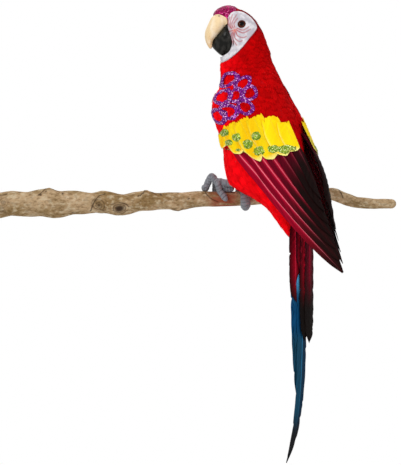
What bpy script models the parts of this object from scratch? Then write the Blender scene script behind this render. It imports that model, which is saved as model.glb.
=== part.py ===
"""Feathered macaw ornament, perched on a dry branch by its wire feet.

Metres, +Z up. The origin is the middle of the branch's sawn butt end, and the
branch runs along +X to its thin end. The bird looks along -X, its body turned
away from the branch so that its tail hangs clear in front of it, on the -Y side.
"""

import math

import bmesh
import bpy
from mathutils import Vector
from mathutils.bvhtree import BVHTree

# Fits between the pieces
CLEARANCE = 0.0003
SEAT_GAP = 0.0006

# Branch: distance from the butt, rise of the core, radius of the wood
BRANCH_RINGS = (
    (0.000, 0.000, 0.0213),
    (0.040, 0.002, 0.0200),
    (0.084, 0.003, 0.0225),
    (0.124, 0.004, 0.0196),
    (0.156, 0.006, 0.0168),
    (0.168, 0.006, 0.0184),
    (0.198, 0.003, 0.0172),
    (0.237, 0.008, 0.0162),
    (0.262, 0.008, 0.0138),
    (0.289, 0.007, 0.0146),
    (0.316, 0.010, 0.0130),
    (0.380, 0.011, 0.0121),
    (0.430, 0.013, 0.0111),
    (0.482, 0.016, 0.0104),
    (0.532, 0.018, 0.0100),
    (0.546, 0.015, 0.0110),
    (0.562, 0.009, 0.0102),
    (0.575, 0.005, 0.0092),
    (0.602, 0.004, 0.0083),
    (0.628, 0.003, 0.0081),
)
BRANCH_TIP_ROUND = 0.0081
BRANCH_SIDES = 12
KNOB_HEIGHT = 0.0025
FEET_SPREAD = 0.060

# Where the bird sits
BODY_ALONG = 0.431
FEET_AHEAD = 0.051
BODY_IN_FRONT = 0.050
BODY_FACING = 40.0
HEAD_FACING = 2.0

# Body and head, from the crown down: height above the perch, lean forward of the
# body's upright, reach of the head beyond that, half depth, half width, facing
BODY_SECTIONS = (
    (0.2935, 0.045, 0.028, 0.0030, 0.0030, 2.0),
    (0.2907, 0.045, 0.027, 0.0130, 0.0120, 2.0),
    (0.2860, 0.045, 0.026, 0.0210, 0.0170, 2.0),
    (0.2797, 0.045, 0.023, 0.0280, 0.0210, 2.0),
    (0.2741, 0.045, 0.018, 0.0290, 0.0230, 2.0),
    (0.2686, 0.045, 0.012, 0.0278, 0.0245, 2.0),
    (0.2607, 0.045, 0.006, 0.0265, 0.0260, 2.0),
    (0.2481, 0.045, 0.000, 0.0277, 0.0270, 2.0),
    (0.2323, 0.045, -0.003, 0.0300, 0.0272, 2.0),
    (0.2196, 0.045, -0.003, 0.0348, 0.0276, 3.0),
    (0.2070, 0.044, 0.000, 0.0395, 0.0300, 9.0),
    (0.1943, 0.0410, 0.000, 0.0437, 0.0330, 16.0),
    (0.1754, 0.0345, 0.000, 0.0490, 0.0400, 28.0),
    (0.1564, 0.0320, 0.000, 0.0565, 0.0480, 36.0),
    (0.1375, 0.028, 0.000, 0.0625, 0.0550, 40.0),
    (0.1185, 0.021, 0.000, 0.0675, 0.0580, 40.0),
    (0.0995, 0.014, 0.000, 0.0690, 0.0595, 40.0),
    (0.0711, 0.007, 0.000, 0.0670, 0.0600, 40.0),
    (0.0427, 0.006, 0.000, 0.0675, 0.0585, 40.0),
    (0.0205, 0.002, 0.000, 0.0680, 0.0530, 40.0),
    (0.0060, -0.005, 0.000, 0.0655, 0.0480, 40.0),
    (-0.0079, -0.0205, 0.000, 0.0465, 0.0390, 40.0),
    (-0.0269, -0.0347, 0.000, 0.0260, 0.0310, 40.0),
    (-0.0490, -0.0450, 0.000, 0.0158, 0.0240, 40.0),
    (-0.0670, -0.0530, 0.000, 0.0078, 0.0170, 40.0),
    (-0.0760, -0.0555, 0.000, 0.0045, 0.0090, 40.0),
)
BODY_RING_STEP = 0.75
BODY_SIDES = 24

# Beaks, side view, on the head's middle plane: forward of the head's core and
# height above the perch, for the ridge and for the cutting edge, and half width
UPPER_BEAK = (
    ((0.047, 0.281), (0.022, 0.264), 0.0190),
    ((0.0545, 0.2741), (0.031, 0.2623), 0.0185),
    ((0.0608, 0.2639), (0.038, 0.2544), 0.0162),
    ((0.0645, 0.2520), (0.045, 0.2457), 0.0128),
    ((0.0648, 0.2402), (0.0509, 0.2378), 0.0082),
    ((0.0624, 0.2315), (0.0533, 0.2315), 0.0050),
    ((0.0588, 0.2264), (0.0546, 0.2270), 0.0016),
)
LOWER_BEAK = (
    ((0.0300, 0.2610), (0.0250, 0.2600), 0.0030),
    ((0.0374, 0.2537), (0.0200, 0.2528), 0.0125),
    ((0.0447, 0.2450), (0.0150, 0.2425), 0.0180),
    ((0.0508, 0.2361), (0.0140, 0.2330), 0.0188),
    ((0.0534, 0.2280), (0.0160, 0.2252), 0.0168),
    ((0.0475, 0.2210), (0.0210, 0.2196), 0.0130),
    ((0.0400, 0.2155), (0.0300, 0.2152), 0.0050),
)
BEAK_SIDES = 16

# Bare skin round the eye: its edge on the beak's side and its edge on the crown's
# side, from the top down, in the same side view
SKIN_FRONT = (
    (0.0240, 0.2815),
    (0.0310, 0.2761),
    (0.0332, 0.2698),
    (0.0292, 0.2619),
    (0.0238, 0.2500),
    (0.0228, 0.2366),
    (0.0246, 0.2240),
    (0.0320, 0.2125),
)
SKIN_REAR = (
    (0.0140, 0.2832),
    (0.0020, 0.2805),
    (-0.0080, 0.2725),
    (-0.0162, 0.2610),
    (-0.0122, 0.2460),
    (-0.0020, 0.2330),
    (0.0130, 0.2180),
    (0.0315, 0.2060),
)
SKIN_THICKNESS = 0.0009
SHEET_EDGE_SHARE = 0.65
EYE_RADIUS = 0.0063
EYE_BULGE = 0.0040
EYE_FORWARD = 0.0058
EYE_BELOW_CROWN = 0.0300

# Glitter cap on the forehead: its ends are angles seen from a centre in the head
CAP_CENTRE = (0.018, 0.266)
CAP_LOW = 32.0
CAP_HIGH = 108.0
CAP_HALF_WIDTH = 0.0165
CAP_THICKNESS = 0.0009

# Wings. Angles run round the body from the middle of the back to the front
WING_FEATHERS = 7
WING_ROOT_LOW = 0.0810
WING_ROOT_HIGH = 0.0890
WING_FRONT_ANGLE = 105.0
WING_BACK_ANGLE = 17.0
WING_TIP_BEHIND = 0.153
WING_TIP_HEIGHT = -0.1290
WING_END_BEHIND = 0.110
WING_END_HEIGHT = -0.0150
WING_TIP_APART = 0.0050
WING_BULGE = 0.0090
FLIGHT_HALF_WIDTH = 0.0185
FLIGHT_LEVEL = 0.0031
FLIGHT_PITCH = 0.0019

# Shoulder pads
PAD_TOP = 0.1790
PAD_BOTTOM = 0.1040
PAD_FRONT_DROP = 0.0160
PAD_BACK_ANGLE = 14.0
PAD_FRONT_ANGLE = 146.0
PAD_EDGE = 0.0010
PAD_LOWER_EDGE = 0.0042
PAD_BULK = 0.0095
PAD_BULK_ANGLE = 122.0
PAD_BULK_SPREAD = 40.0

# Glitter rings on the shoulder pads: how far each centre lies to the front of a
# line up the pad, its height above the perch, and how much it is stretched across
RINGS = (
    (0.0080, 0.1760, 1.90),
    (-0.0285, 0.1690, 1.20),
    (0.0000, 0.1480, 1.60),
    (-0.0240, 0.1500, 0.95),
    (-0.0470, 0.1530, 1.00),
    (-0.0405, 0.1311, 1.00),
    (-0.0125, 0.1245, 1.35),
    (0.0135, 0.1178, 1.85),
)
RING_ANGLE = 105.0
RING_BEND_RADIUS = 0.062
RING_RADIUS = 0.0105
RING_WIDTH = 0.0054
RING_THICKNESS = 0.0008
RING_SIDES = 12

# Yellow coverts over the pad's lower edge and the roots of the flight feathers, from
# the front of the wing to its back: height of the root and length
COVERTS = (
    (0.0930, 0.0280),
    (0.1035, 0.0485),
    (0.1105, 0.0700),
    (0.1140, 0.0730),
    (0.1140, 0.0700),
    (0.1050, 0.0500),
)
COVERT_HALF_WIDTH = 0.0175
COVERT_LEVEL = 0.0058
COVERT_PITCH = 0.0012
COVERT_FRONT_ANGLE = 118.0
COVERT_BACK_ANGLE = 22.0

# Every feather. The reaches, as shares of the wing's breadth, hold a vane back from
# its own shaft and from the far side of the back
TILE_REACH = 0.30
BACK_REACH = 0.09
VANE_THICKNESS = 0.0005
VANE_EDGE = 0.0003
QUILL_HEIGHT = 0.0005
FLIGHT_STATIONS = 9
COVERT_STATIONS = 7

# Tail feathers, the outermost layer first: place across the root, place across the
# tip, height of the tip, half width
TAIL_FEATHERS = (
    (-0.0220, -0.0210, -0.2400, 0.0155),
    (0.0010, 0.0040, -0.1560, 0.0110),
    (0.0120, 0.0100, -0.1750, 0.0130),
    (-0.0065, 0.0290, -0.4266, 0.0128),
    (0.0010, 0.0010, -0.3000, 0.0150),
    (0.0040, 0.0040, -0.3270, 0.0140),
    (-0.0125, -0.0120, -0.1900, 0.0135),
)
TAIL_ROOT_HEIGHT = -0.0430
TAIL_BEHIND = 0.0690
TAIL_LAYER = 0.0013
TAIL_ARCH_RADIUS = 0.100
TAIL_STATIONS = 12
TAIL_SWEEP = 5
TAIL_TEETH = 7
TAIL_TOOTH = 0.14

# Feet: taped wire toes
TOE_RADIUS = 0.0047
CLAW_SHARE = 0.5
LEG_RADIUS = 0.0046
TOE_RESOLUTION = 1

# Places of the knuckles and of the legs' tops, from the body's upright on the perch:
# along the branch, behind its core, above its top. Each toe has the places along the
# branch where it lands and ends, the rise of its arch, the angles round the branch
# from its top to the front, and its girth
LEFT_KNUCKLE = (-0.0820, -0.0060, 0.0150)
LEFT_LEG_TOP = (-0.0510, -0.0200, 0.0110)
LEFT_TOES = (
    (-0.0980, -0.0998, (0.001, 0.000, 0.0130), -8, 22, 1.0),
    (-0.0680, -0.0530, (0.003, -0.004, 0.0040), 18, 26, 1.05),
    (-0.0755, -0.0645, (0.000, -0.005, 0.0040), 44, 102, 0.9),
    (-0.0830, -0.0870, (0.000, 0.004, 0.0060), -50, -114, 0.9),
)
RIGHT_KNUCKLE = (-0.0360, 0.0040, 0.0090)
RIGHT_LEG_TOP = (-0.0180, -0.0200, 0.0140)
RIGHT_TOES = (
    (-0.0352, -0.0348, (0.000, -0.003, 0.0010), 60, 158, 1.4),
    (-0.0300, -0.0290, (0.003, 0.004, 0.0030), -44, -104, 0.9),
    (-0.0460, -0.0480, (-0.003, 0.004, 0.0030), -44, -108, 0.9),
)

RED = (0.80, 0.010, 0.010)
SHOULDER_RED = (0.75, 0.012, 0.020)
YELLOW = (0.95, 0.72, 0.02)
MAROON = (0.16, 0.006, 0.030)
TAIL_BLUE = (0.02, 0.12, 0.26)
HORN = (0.86, 0.72, 0.50)
BLACK_HORN = (0.012, 0.012, 0.013)
BARE_SKIN = (0.83, 0.82, 0.80)
EYE_BROWN = (0.035, 0.008, 0.004)
GLITTER_PINK = (0.48, 0.01, 0.20)
GLITTER_PURPLE = (0.26, 0.03, 0.40)
WIRE_GREY = (0.27, 0.27, 0.29)
BARK = (0.45, 0.33, 0.20)


def clear_scene():
    for old in list(bpy.data.objects):
        bpy.data.objects.remove(old)


def finish(name, colour, roughness=0.6, metallic=0.0):
    """A material with one colour, made once."""
    made = bpy.data.materials.get(name) or bpy.data.materials.new(name)
    made.use_nodes = True
    shader = made.node_tree.nodes["Principled BSDF"]
    shader.inputs["Base Color"].default_value = (*colour, 1.0)
    shader.inputs["Roughness"].default_value = roughness
    shader.inputs["Metallic"].default_value = metallic
    return made


def mixed(a, b, share):
    return tuple(x + (y - x) * share for x, y in zip(a, b))


def along_rows(rows, place):
    """The numbers at a place, in rows, on a smooth curve through all the rows."""
    last = len(rows) - 1
    place = min(max(place, 0.0), float(last))
    index = min(int(place), last - 1)
    t = place - index
    before = rows[max(index - 1, 0)]
    start = rows[index]
    end = rows[index + 1]
    after = rows[min(index + 2, last)]
    numbers = []
    for p0, p1, p2, p3 in zip(before, start, end, after):
        slope_in = (p2 - p0) / 2
        slope_out = (p3 - p1) / 2
        numbers.append(
            (2 * t**3 - 3 * t**2 + 1) * p1
            + (t**3 - 2 * t**2 + t) * slope_in
            + (3 * t**2 - 2 * t**3) * p2
            + (t**3 - t**2) * slope_out
        )
    return numbers


def facing(degrees):
    """Forward and left of something turned this far from the branch's butt end."""
    turn = math.radians(degrees)
    forward = Vector((-math.cos(turn), math.sin(turn), 0.0))
    left = Vector((-math.sin(turn), -math.cos(turn), 0.0))
    return forward, left


def branch_at(along):
    """The core and the radius of the branch at a distance from its butt."""
    for index in range(len(BRANCH_RINGS) - 1):
        if along <= BRANCH_RINGS[index + 1][0]:
            break
    start, end = BRANCH_RINGS[index][0], BRANCH_RINGS[index + 1][0]
    place = index + (along - start) / (end - start)
    _, rise, radius = along_rows(BRANCH_RINGS, place)
    return Vector((along, 0.0, rise)), radius


def perch_height():
    core, radius = branch_at(BODY_ALONG - FEET_AHEAD)
    return core.z + radius


def bird_point(forward, left, height):
    """A point from its place in the bird's own frame, which stands on the perch."""
    ahead, side = facing(BODY_FACING)
    origin = Vector((BODY_ALONG, -BODY_IN_FRONT, perch_height()))
    return origin + ahead * forward + side * left + Vector((0, 0, height))


def body_section(place):
    """Core, forward and left half axes of the body's section at a place in rows."""
    height, lean, reach, depth, width, turn = along_rows(BODY_SECTIONS, place)
    forward, left = facing(turn)
    return bird_point(lean, 0.0, height) + forward * reach, forward * depth, left * width


def section_place(height):
    """The place, in rows, where the body has this height above the perch."""
    low, high = 0.0, float(len(BODY_SECTIONS) - 1)
    for _ in range(30):
        middle = (low + high) / 2
        if along_rows(BODY_SECTIONS, middle)[0] > height:
            low = middle
        else:
            high = middle
    return (low + high) / 2


def body_point(height, angle, side=1, grow=0.0):
    """A point on the body, at an angle from the middle of the back."""
    core, forward, left = body_section(section_place(height))
    turn = math.radians(angle)
    depth = forward.length + grow
    width = left.length + grow
    return (
        core
        - forward.normalized() * depth * math.cos(turn)
        + left.normalized() * width * math.sin(turn) * side
    )


def outside_body(point, gap):
    """The point, moved level outwards where it would be nearer the body than the gap."""
    height = point.z - perch_height()
    if not BODY_SECTIONS[-1][0] <= height <= BODY_SECTIONS[0][0]:
        return point
    core, forward, left = body_section(section_place(height))
    away = point - core
    ahead = away.dot(forward.normalized()) / (forward.length + gap)
    beside = away.dot(left.normalized()) / (left.length + gap)
    share = math.hypot(ahead, beside)
    if share >= 1.0 or share < 1e-6:
        return point
    moved = away / share
    return core + Vector((moved.x, moved.y, away.z))


def skin_rings(name, rings, material, smooth_angle=40.0):
    """A closed solid through rings of points, its first and last ring capped."""
    mesh = bmesh.new()
    loops = [[mesh.verts.new(point) for point in ring] for ring in rings]
    for first, second in zip(loops, loops[1:]):
        count = len(first)
        for index in range(count):
            following = (index + 1) % count
            mesh.faces.new(
                (first[index], first[following], second[following], second[index])
            )
    mesh.faces.new(loops[0])
    mesh.faces.new(loops[-1])
    bmesh.ops.recalc_face_normals(mesh, faces=mesh.faces)
    return solid_object(name, mesh, material, smooth_angle)


def solid_object(name, mesh, material, smooth_angle=40.0):
    data = bpy.data.meshes.new(name)
    mesh.to_mesh(data)
    mesh.free()
    data.materials.append(material)
    data.shade_smooth()
    data.set_sharp_from_angle(angle=math.radians(smooth_angle))
    made = bpy.data.objects.new(name, data)
    bpy.context.scene.collection.objects.link(made)
    return made


def make_branch():
    """A tapering stick with knobs, sawn flat at the butt and worn round at the tip."""
    first, last = BRANCH_RINGS[0][0], BRANCH_RINGS[-1][0]
    rings = []
    places = [index / 2 for index in range(2 * len(BRANCH_RINGS) - 1)]
    for place in places:
        along, rise, radius = along_rows(BRANCH_RINGS, place)
        near_feet = math.exp(-(((along - BODY_ALONG + FEET_AHEAD) / FEET_SPREAD) ** 2))
        ring = []
        for index in range(BRANCH_SIDES):
            angle = math.tau * index / BRANCH_SIDES
            knob = math.sin(2 * angle + along * 70) * math.sin(along * 55 + angle)
            if first < along < last:
                swell = KNOB_HEIGHT * knob * (1 - near_feet) * radius / 0.02
            else:
                swell = 0.0
            reach = radius + swell
            ring.append((along, reach * math.sin(angle), rise + reach * math.cos(angle)))
        rings.append(ring)
    _, rise, radius = BRANCH_RINGS[-1]
    for step in (35, 65, 82):
        turn = math.radians(step)
        along = last + BRANCH_TIP_ROUND * math.sin(turn)
        reach = radius * math.cos(turn)
        rings.append(
            [
                (
                    along,
                    reach * math.sin(math.tau * index / BRANCH_SIDES),
                    rise + reach * math.cos(math.tau * index / BRANCH_SIDES),
                )
                for index in range(BRANCH_SIDES)
            ]
        )
    return skin_rings("branch", rings, finish("bark", BARK, 0.85))


def body_rings(grow=0.0):
    count = int((len(BODY_SECTIONS) - 1) / BODY_RING_STEP)
    rings = []
    for step in range(count + 1):
        place = step * (len(BODY_SECTIONS) - 1) / count
        core, forward, left = body_section(place)
        depth = forward.length + grow
        width = left.length + grow
        lift = 0.0
        if step == 0:
            lift = grow
        if step == count:
            lift = -grow
        ring = []
        for index in range(BODY_SIDES):
            angle = math.tau * index / BODY_SIDES
            point = (
                core
                - forward.normalized() * depth * math.cos(angle)
                + left.normalized() * width * math.sin(angle)
            )
            ring.append(point + Vector((0, 0, lift)))
        rings.append(ring)
    return rings


def make_body():
    return skin_rings("body", body_rings(), finish("red_hackle", RED, 0.85), 60.0)


def body_cutter(name, grow):
    """The body's shape a little larger, which fits other pieces to it."""
    cutter = skin_rings(name, body_rings(grow), finish("red_hackle", RED, 0.85))
    cutter.hide_render = True
    cutter.display_type = "WIRE"
    return cutter


def boolean(target, other, operation):
    modifier = target.modifiers.new(other.name, "BOOLEAN")
    modifier.operation = operation
    modifier.object = other
    modifier.solver = "EXACT"


def head_axes():
    return facing(HEAD_FACING)


def head_point(forward, height, left=0.0):
    """A point from its side view place, forward of the head's core."""
    ahead, side = head_axes()
    neck = bird_point(BODY_SECTIONS[8][1], 0.0, height)
    return neck + ahead * forward + side * left


def make_beak(name, sections, material, cutter):
    """A horn lofted from the face to its point, its back fitted to the head."""
    rings = []
    for step in range(2 * len(sections) - 1):
        flat = [(*ridge, *edge, width) for ridge, edge, width in sections]
        x1, z1, x2, z2, width = along_rows(flat, step / 2)
        ridge, edge = Vector((x1, z1)), Vector((x2, z2))
        middle, half = (ridge + edge) / 2, (ridge - edge) / 2
        ring = []
        for index in range(BEAK_SIDES):
            angle = math.tau * index / BEAK_SIDES
            along = math.cos(angle)
            across = math.copysign(abs(math.sin(angle)) ** 0.8, math.sin(angle))
            place = middle + half * along
            ring.append(head_point(place.x, place.y, across * width))
        rings.append(ring)
    beak = skin_rings(name, rings, material)
    boolean(beak, cutter, "DIFFERENCE")
    return beak


def surface_under(tree, point, direction):
    """Where a line towards the body meets it, and the body's normal there."""
    hit, normal, _, _ = tree.ray_cast(point, direction)
    return hit, normal


def seated_lifts(grid, tree):
    """How far each grid point is lifted, so that no facet between them dips under."""
    lifts = [[SEAT_GAP] * len(row) for row in grid]
    for _ in range(4):
        for r in range(len(grid) - 1):
            for c in range(len(grid[0]) - 1):
                corners = ((r, c), (r, c + 1), (r + 1, c + 1), (r + 1, c))
                points = [grid[i][j][0] + grid[i][j][1] * lifts[i][j] for i, j in corners]
                tests = [(a + b) / 2 for a in points for b in points]
                short = 0.0
                for test in tests:
                    hit, normal, _, _ = tree.find_nearest(test)
                    short = max(short, CLEARANCE - (test - hit).dot(normal))
                for i, j in corners:
                    lifts[i][j] += short
    return lifts


def slab(name, inner, outer, material, smooth_angle=40.0):
    """A closed sheet between two grids of points, both faces split the same way."""
    rows, columns = len(inner), len(inner[0])
    mesh = bmesh.new()
    low = [[mesh.verts.new(point) for point in row] for row in inner]
    high = [[mesh.verts.new(point) for point in row] for row in outer]
    for r in range(rows - 1):
        for c in range(columns - 1):
            for face in (high, low):
                mesh.faces.new((face[r][c], face[r][c + 1], face[r + 1][c + 1]))
                mesh.faces.new((face[r][c], face[r + 1][c + 1], face[r + 1][c]))
    rim = [(0, c) for c in range(columns)]
    rim += [(r, columns - 1) for r in range(1, rows)]
    rim += [(rows - 1, c) for c in range(columns - 2, -1, -1)]
    rim += [(r, 0) for r in range(rows - 2, 0, -1)]
    for (r, c), (r2, c2) in zip(rim, rim[1:] + rim[:1]):
        mesh.faces.new((high[r][c], high[r2][c2], low[r2][c2], low[r][c]))
    bmesh.ops.recalc_face_normals(mesh, faces=mesh.faces)
    return solid_object(name, mesh, material, smooth_angle)


def seated_sheet(name, grid, material, tree, thickness):
    """A sheet seated over a grid of surface points and normals, thinner at its edge."""
    rows, columns = len(grid), len(grid[0])
    lifts = seated_lifts(grid, tree)
    inner, outer = [], []
    for r, row in enumerate(grid):
        inner.append([point + normal * lifts[r][c] for c, (point, normal) in enumerate(row)])
        outer.append([])
        for c, (point, normal) in enumerate(row):
            at_edge = r in (0, rows - 1) or c in (0, columns - 1)
            full = thickness * (SHEET_EDGE_SHARE if at_edge else 1.0)
            outer[r].append(point + normal * (lifts[r][c] + full))
    return slab(name, inner, outer, material)


def make_face_skin(name, side, tree):
    """Bare skin laid on one cheek."""
    _, left = head_axes()
    columns = 7
    grid = []
    for step in range(2 * len(SKIN_FRONT) - 1):
        front = along_rows(SKIN_FRONT, step / 2)
        rear = along_rows(SKIN_REAR, step / 2)
        row = []
        for column in range(columns):
            forward, height = mixed(front, rear, column / (columns - 1))
            start = head_point(forward, height, side * 0.1)
            row.append(surface_under(tree, start, -left * side))
        grid.append(row)
    skin = finish("bare_skin", BARE_SKIN, 0.7)
    return seated_sheet(name, grid, skin, tree, SKIN_THICKNESS)


def make_eye(name, side, tree, cutter):
    """A glass dome glued on the skin."""
    _, left = head_axes()
    height = BODY_SECTIONS[0][0] - EYE_BELOW_CROWN
    start = head_point(EYE_FORWARD, height, side * 0.1)
    hit, normal = surface_under(tree, start, -left * side)
    mesh = bmesh.new()
    bmesh.ops.create_uvsphere(mesh, u_segments=16, v_segments=10, radius=EYE_RADIUS)
    bmesh.ops.translate(
        mesh,
        verts=mesh.verts,
        vec=hit + normal * (SEAT_GAP + SKIN_THICKNESS + EYE_BULGE - EYE_RADIUS),
    )
    eye = solid_object(name, mesh, finish("eye", EYE_BROWN, 0.05))
    boolean(eye, cutter, "DIFFERENCE")
    return eye


def make_forehead_cap(tree):
    """Glitter laid over the forehead, from under the beak's root to the crown."""
    rows, columns = 10, 9
    ahead, left = head_axes()
    centre = head_point(*CAP_CENTRE)
    grid = []
    for r in range(rows):
        share = r / (rows - 1)
        rise = math.radians(CAP_LOW + (CAP_HIGH - CAP_LOW) * share)
        width = CAP_HALF_WIDTH * math.sqrt(1 - (1.96 * share - 0.98) ** 4)
        direction = ahead * math.cos(rise) + Vector((0, 0, math.sin(rise)))
        row = []
        for c in range(columns):
            across = left * width * (2 * c / (columns - 1) - 1)
            row.append(surface_under(tree, centre + across + direction * 0.1, -direction))
        grid.append(row)
    glitter = finish("pink_glitter", GLITTER_PINK, 0.35)
    return seated_sheet("forehead_glitter", grid, glitter, tree, CAP_THICKNESS)


def wing_root(v, side):
    """Top of the feather line at a share v from the front edge to the back edge."""
    height = WING_ROOT_LOW + (WING_ROOT_HIGH - WING_ROOT_LOW) * v
    angle = WING_FRONT_ANGLE + (WING_BACK_ANGLE - WING_FRONT_ANGLE) * v
    return body_point(height, angle, side)


def wing_tip(v, side):
    behind = WING_TIP_BEHIND + (WING_END_BEHIND - WING_TIP_BEHIND) * v
    height = WING_TIP_HEIGHT + (WING_END_HEIGHT - WING_TIP_HEIGHT) * v
    return bird_point(-behind, side * WING_TIP_APART * (0.5 + v), height)


def wing_surface(s, v, side):
    """The folded wing's underside, at a share s of the way to the tip."""
    root, tip = wing_root(v, side), wing_tip(v, side)
    _, left = facing(BODY_FACING)
    backwards = -facing(BODY_FACING)[0]
    outward = (left * side * (1 - 0.6 * v) + backwards * 0.8 * v).normalized()
    bulge = WING_BULGE * math.sin(math.pi * s)
    return outside_body(root.lerp(tip, s) + outward * bulge, SEAT_GAP)


def surface_frame(surface, s, v):
    """Directions along s and v on a surface, and its outward normal, at a point."""
    step = 0.02
    along = (surface(s + step, v) - surface(s - step, v)) / (2 * step)
    across = (surface(s, v + step) - surface(s, v - step)) / (2 * step)
    return along, across, along.cross(across).normalized()


def eased(value, limit):
    """The value, bent smoothly so that it never passes the limit."""
    return limit * math.tanh(value / limit)


def placed_on(surface, shaft, side, level, pitch, spacing):
    """Turns a place on a feather into a point and a normal on a surface. Each feather
    lies like a roof tile: its front edge over its neighbour, its rear edge under."""

    def place(s, sideways):
        along, across, _ = surface_frame(surface, s, shaft)
        heading = along.normalized()
        square = across - heading * across.dot(heading)
        v = shaft + eased(sideways / square.length, TILE_REACH)
        if v > 1.0:
            v = 1.0 + eased(v - 1.0, BACK_REACH)
        ds = (shaft - v) * across.dot(heading) / along.length
        point = surface(s + ds, v)
        _, _, normal = surface_frame(surface, s + ds, v)
        lift = level - pitch * (v - shaft) / spacing
        return point + normal * side * lift, normal * side

    return place


def feather(name, place, front_width, rear_width, material, stations, quill):
    """A vane with a raised quill, thin at its edges. Stations crowd towards the tip."""
    inner, outer = [], []
    for station in range(stations):
        s = 1 - (1 - station / (stations - 1)) ** 1.4
        front, rear = front_width(s), rear_width(s)
        ridge = VANE_THICKNESS + quill * (1 - 0.7 * s)
        heights = (VANE_EDGE, VANE_THICKNESS, ridge, VANE_THICKNESS, VANE_EDGE)
        row = [place(s, sideways) for sideways in (-front, -front / 2, 0, rear / 2, rear)]
        inner.append([point for point, _ in row])
        outer.append([p + normal * height for (p, normal), height in zip(row, heights)])
    return slab(name, inner, outer, material, 30.0)


def flight_width(s, full, root_share=0.55):
    """Half width of a flight feather: quick to full width, long taper to the tip."""
    swell = root_share + (1 - root_share) * min(1.0, s / 0.25)
    taper = max(0.0, 1 - s**3.2) ** 0.75
    return full * swell * taper + 0.0008


def make_flight_feathers(side_name, side):
    spacing = 1 / (WING_FEATHERS - 1)
    for number in range(WING_FEATHERS):
        shaft = number * spacing
        front = FLIGHT_HALF_WIDTH * (0.50 if number == 0 else 0.75)

        def surface(s, v):
            return wing_surface(s, v, side)

        place = placed_on(surface, shaft, side, FLIGHT_LEVEL, FLIGHT_PITCH, spacing)
        feather(
            f"{side_name}_flight_feather_{number + 1}",
            place,
            lambda s, full=front: flight_width(s, full),
            lambda s: flight_width(s, FLIGHT_HALF_WIDTH),
            finish("flight_maroon", MAROON, 0.5),
            FLIGHT_STATIONS,
            QUILL_HEIGHT,
        )


def pad_offset(height, angle):
    """How far the shoulder pad stands off the body."""
    rise = (height - PAD_BOTTOM) / (PAD_TOP - PAD_BOTTOM)
    lower = PAD_LOWER_EDGE * (1 - rise) + PAD_EDGE * rise
    spread = (angle - PAD_BULK_ANGLE) / PAD_BULK_SPREAD
    bulge = math.exp(-(spread**2)) * max(0.0, math.sin(math.pi * rise)) ** 1.1
    return SEAT_GAP + lower + (PAD_BULK - PAD_LOWER_EDGE) * bulge


def make_shoulder_pad(name, side):
    """The upper wing's padded cover, thick at its front and thin along its edges."""
    rows, columns = 9, 13
    middle = (PAD_BACK_ANGLE + PAD_FRONT_ANGLE) / 2
    half = (PAD_FRONT_ANGLE - PAD_BACK_ANGLE) / 2
    inner, outer = [], []
    for r in range(rows):
        rise = r / (rows - 1)
        inner.append([])
        outer.append([])
        for c in range(columns):
            across = 2 * c / (columns - 1) - 1
            drop = 0.30 * abs(across) ** 3
            bottom = PAD_BOTTOM - PAD_FRONT_DROP * ((across + 1) / 2) ** 3
            height = bottom + (PAD_TOP - bottom) * rise * (1 - drop)
            angle = middle + half * (1 - 0.12 * rise**2) * across
            low = body_point(height, angle, side, SEAT_GAP)
            high = body_point(height, angle, side, pad_offset(height, angle))
            share = 1.0
            if r in (0, rows - 1):
                share = 0.6
            elif c in (0, columns - 1):
                share = 0.35
            inner[r].append(low)
            outer[r].append(low.lerp(high, share))
    return slab(name, inner, outer, finish("shoulder_red", SHOULDER_RED, 0.85))


def flat_ring(name, across, height, stretch, material):
    """A flat ring, drawn on the unrolled shoulder pad."""
    mesh = bmesh.new()
    corners = []
    for step in range(RING_SIDES):
        angle = math.tau * step / RING_SIDES
        column = []
        for reach in (RING_RADIUS - RING_WIDTH / 2, RING_RADIUS + RING_WIDTH / 2):
            for level in (0.0, RING_THICKNESS):
                x = across + reach * stretch * math.cos(angle)
                y = height + reach * math.sin(angle)
                column.append(mesh.verts.new((x, y, level)))
        corners.append(column)
    for first, second in zip(corners, corners[1:] + corners[:1]):
        for a, b in ((0, 1), (1, 3), (3, 2), (2, 0)):
            mesh.faces.new((first[a], first[b], second[b], second[a]))
    bmesh.ops.recalc_face_normals(mesh, faces=mesh.faces)
    return solid_object(name, mesh, material)


def make_ring_lace(name, side):
    """Glitter rings that touch, joined flat and then bent over the shoulder pad."""
    glitter = finish("purple_glitter", GLITTER_PURPLE, 0.35)
    rings = [flat_ring(f"{name}_{i}", *place, glitter) for i, place in enumerate(RINGS)]
    for other in rings[1:]:
        boolean(rings[0], other, "UNION")
    graph = bpy.context.evaluated_depsgraph_get()
    flat = bpy.data.meshes.new_from_object(rings[0].evaluated_get(graph))
    for ring in rings:
        bpy.data.objects.remove(ring)
    mesh = bmesh.new()
    mesh.from_mesh(flat)
    bmesh.ops.triangulate(mesh, faces=mesh.faces)
    for vert in mesh.verts:
        across, height, level = vert.co
        angle = RING_ANGLE + math.degrees(across / RING_BEND_RADIUS)
        stand_off = pad_offset(height, angle) + SEAT_GAP + level
        vert.co = body_point(height, angle, side, stand_off)
    bmesh.ops.recalc_face_normals(mesh, faces=mesh.faces)
    return solid_object(name, mesh, glitter, 60.0)


def covert_surface(s, v, side):
    """The face that the coverts lie on: the body, then the roots of the flights."""
    angle = COVERT_FRONT_ANGLE + (COVERT_BACK_ANGLE - COVERT_FRONT_ANGLE) * v
    height, length = along_rows(COVERTS, v * (len(COVERTS) - 1))
    top = body_point(height, angle, side)
    root_v = (WING_FRONT_ANGLE - angle) / (WING_FRONT_ANGLE - WING_BACK_ANGLE)
    root, tip = wing_root(root_v, side), wing_tip(root_v, side)
    fall = length - (top - root).length
    low = wing_surface(fall / (tip - root).length, root_v, side)
    return outside_body(top.lerp(low, s), SEAT_GAP)


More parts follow.
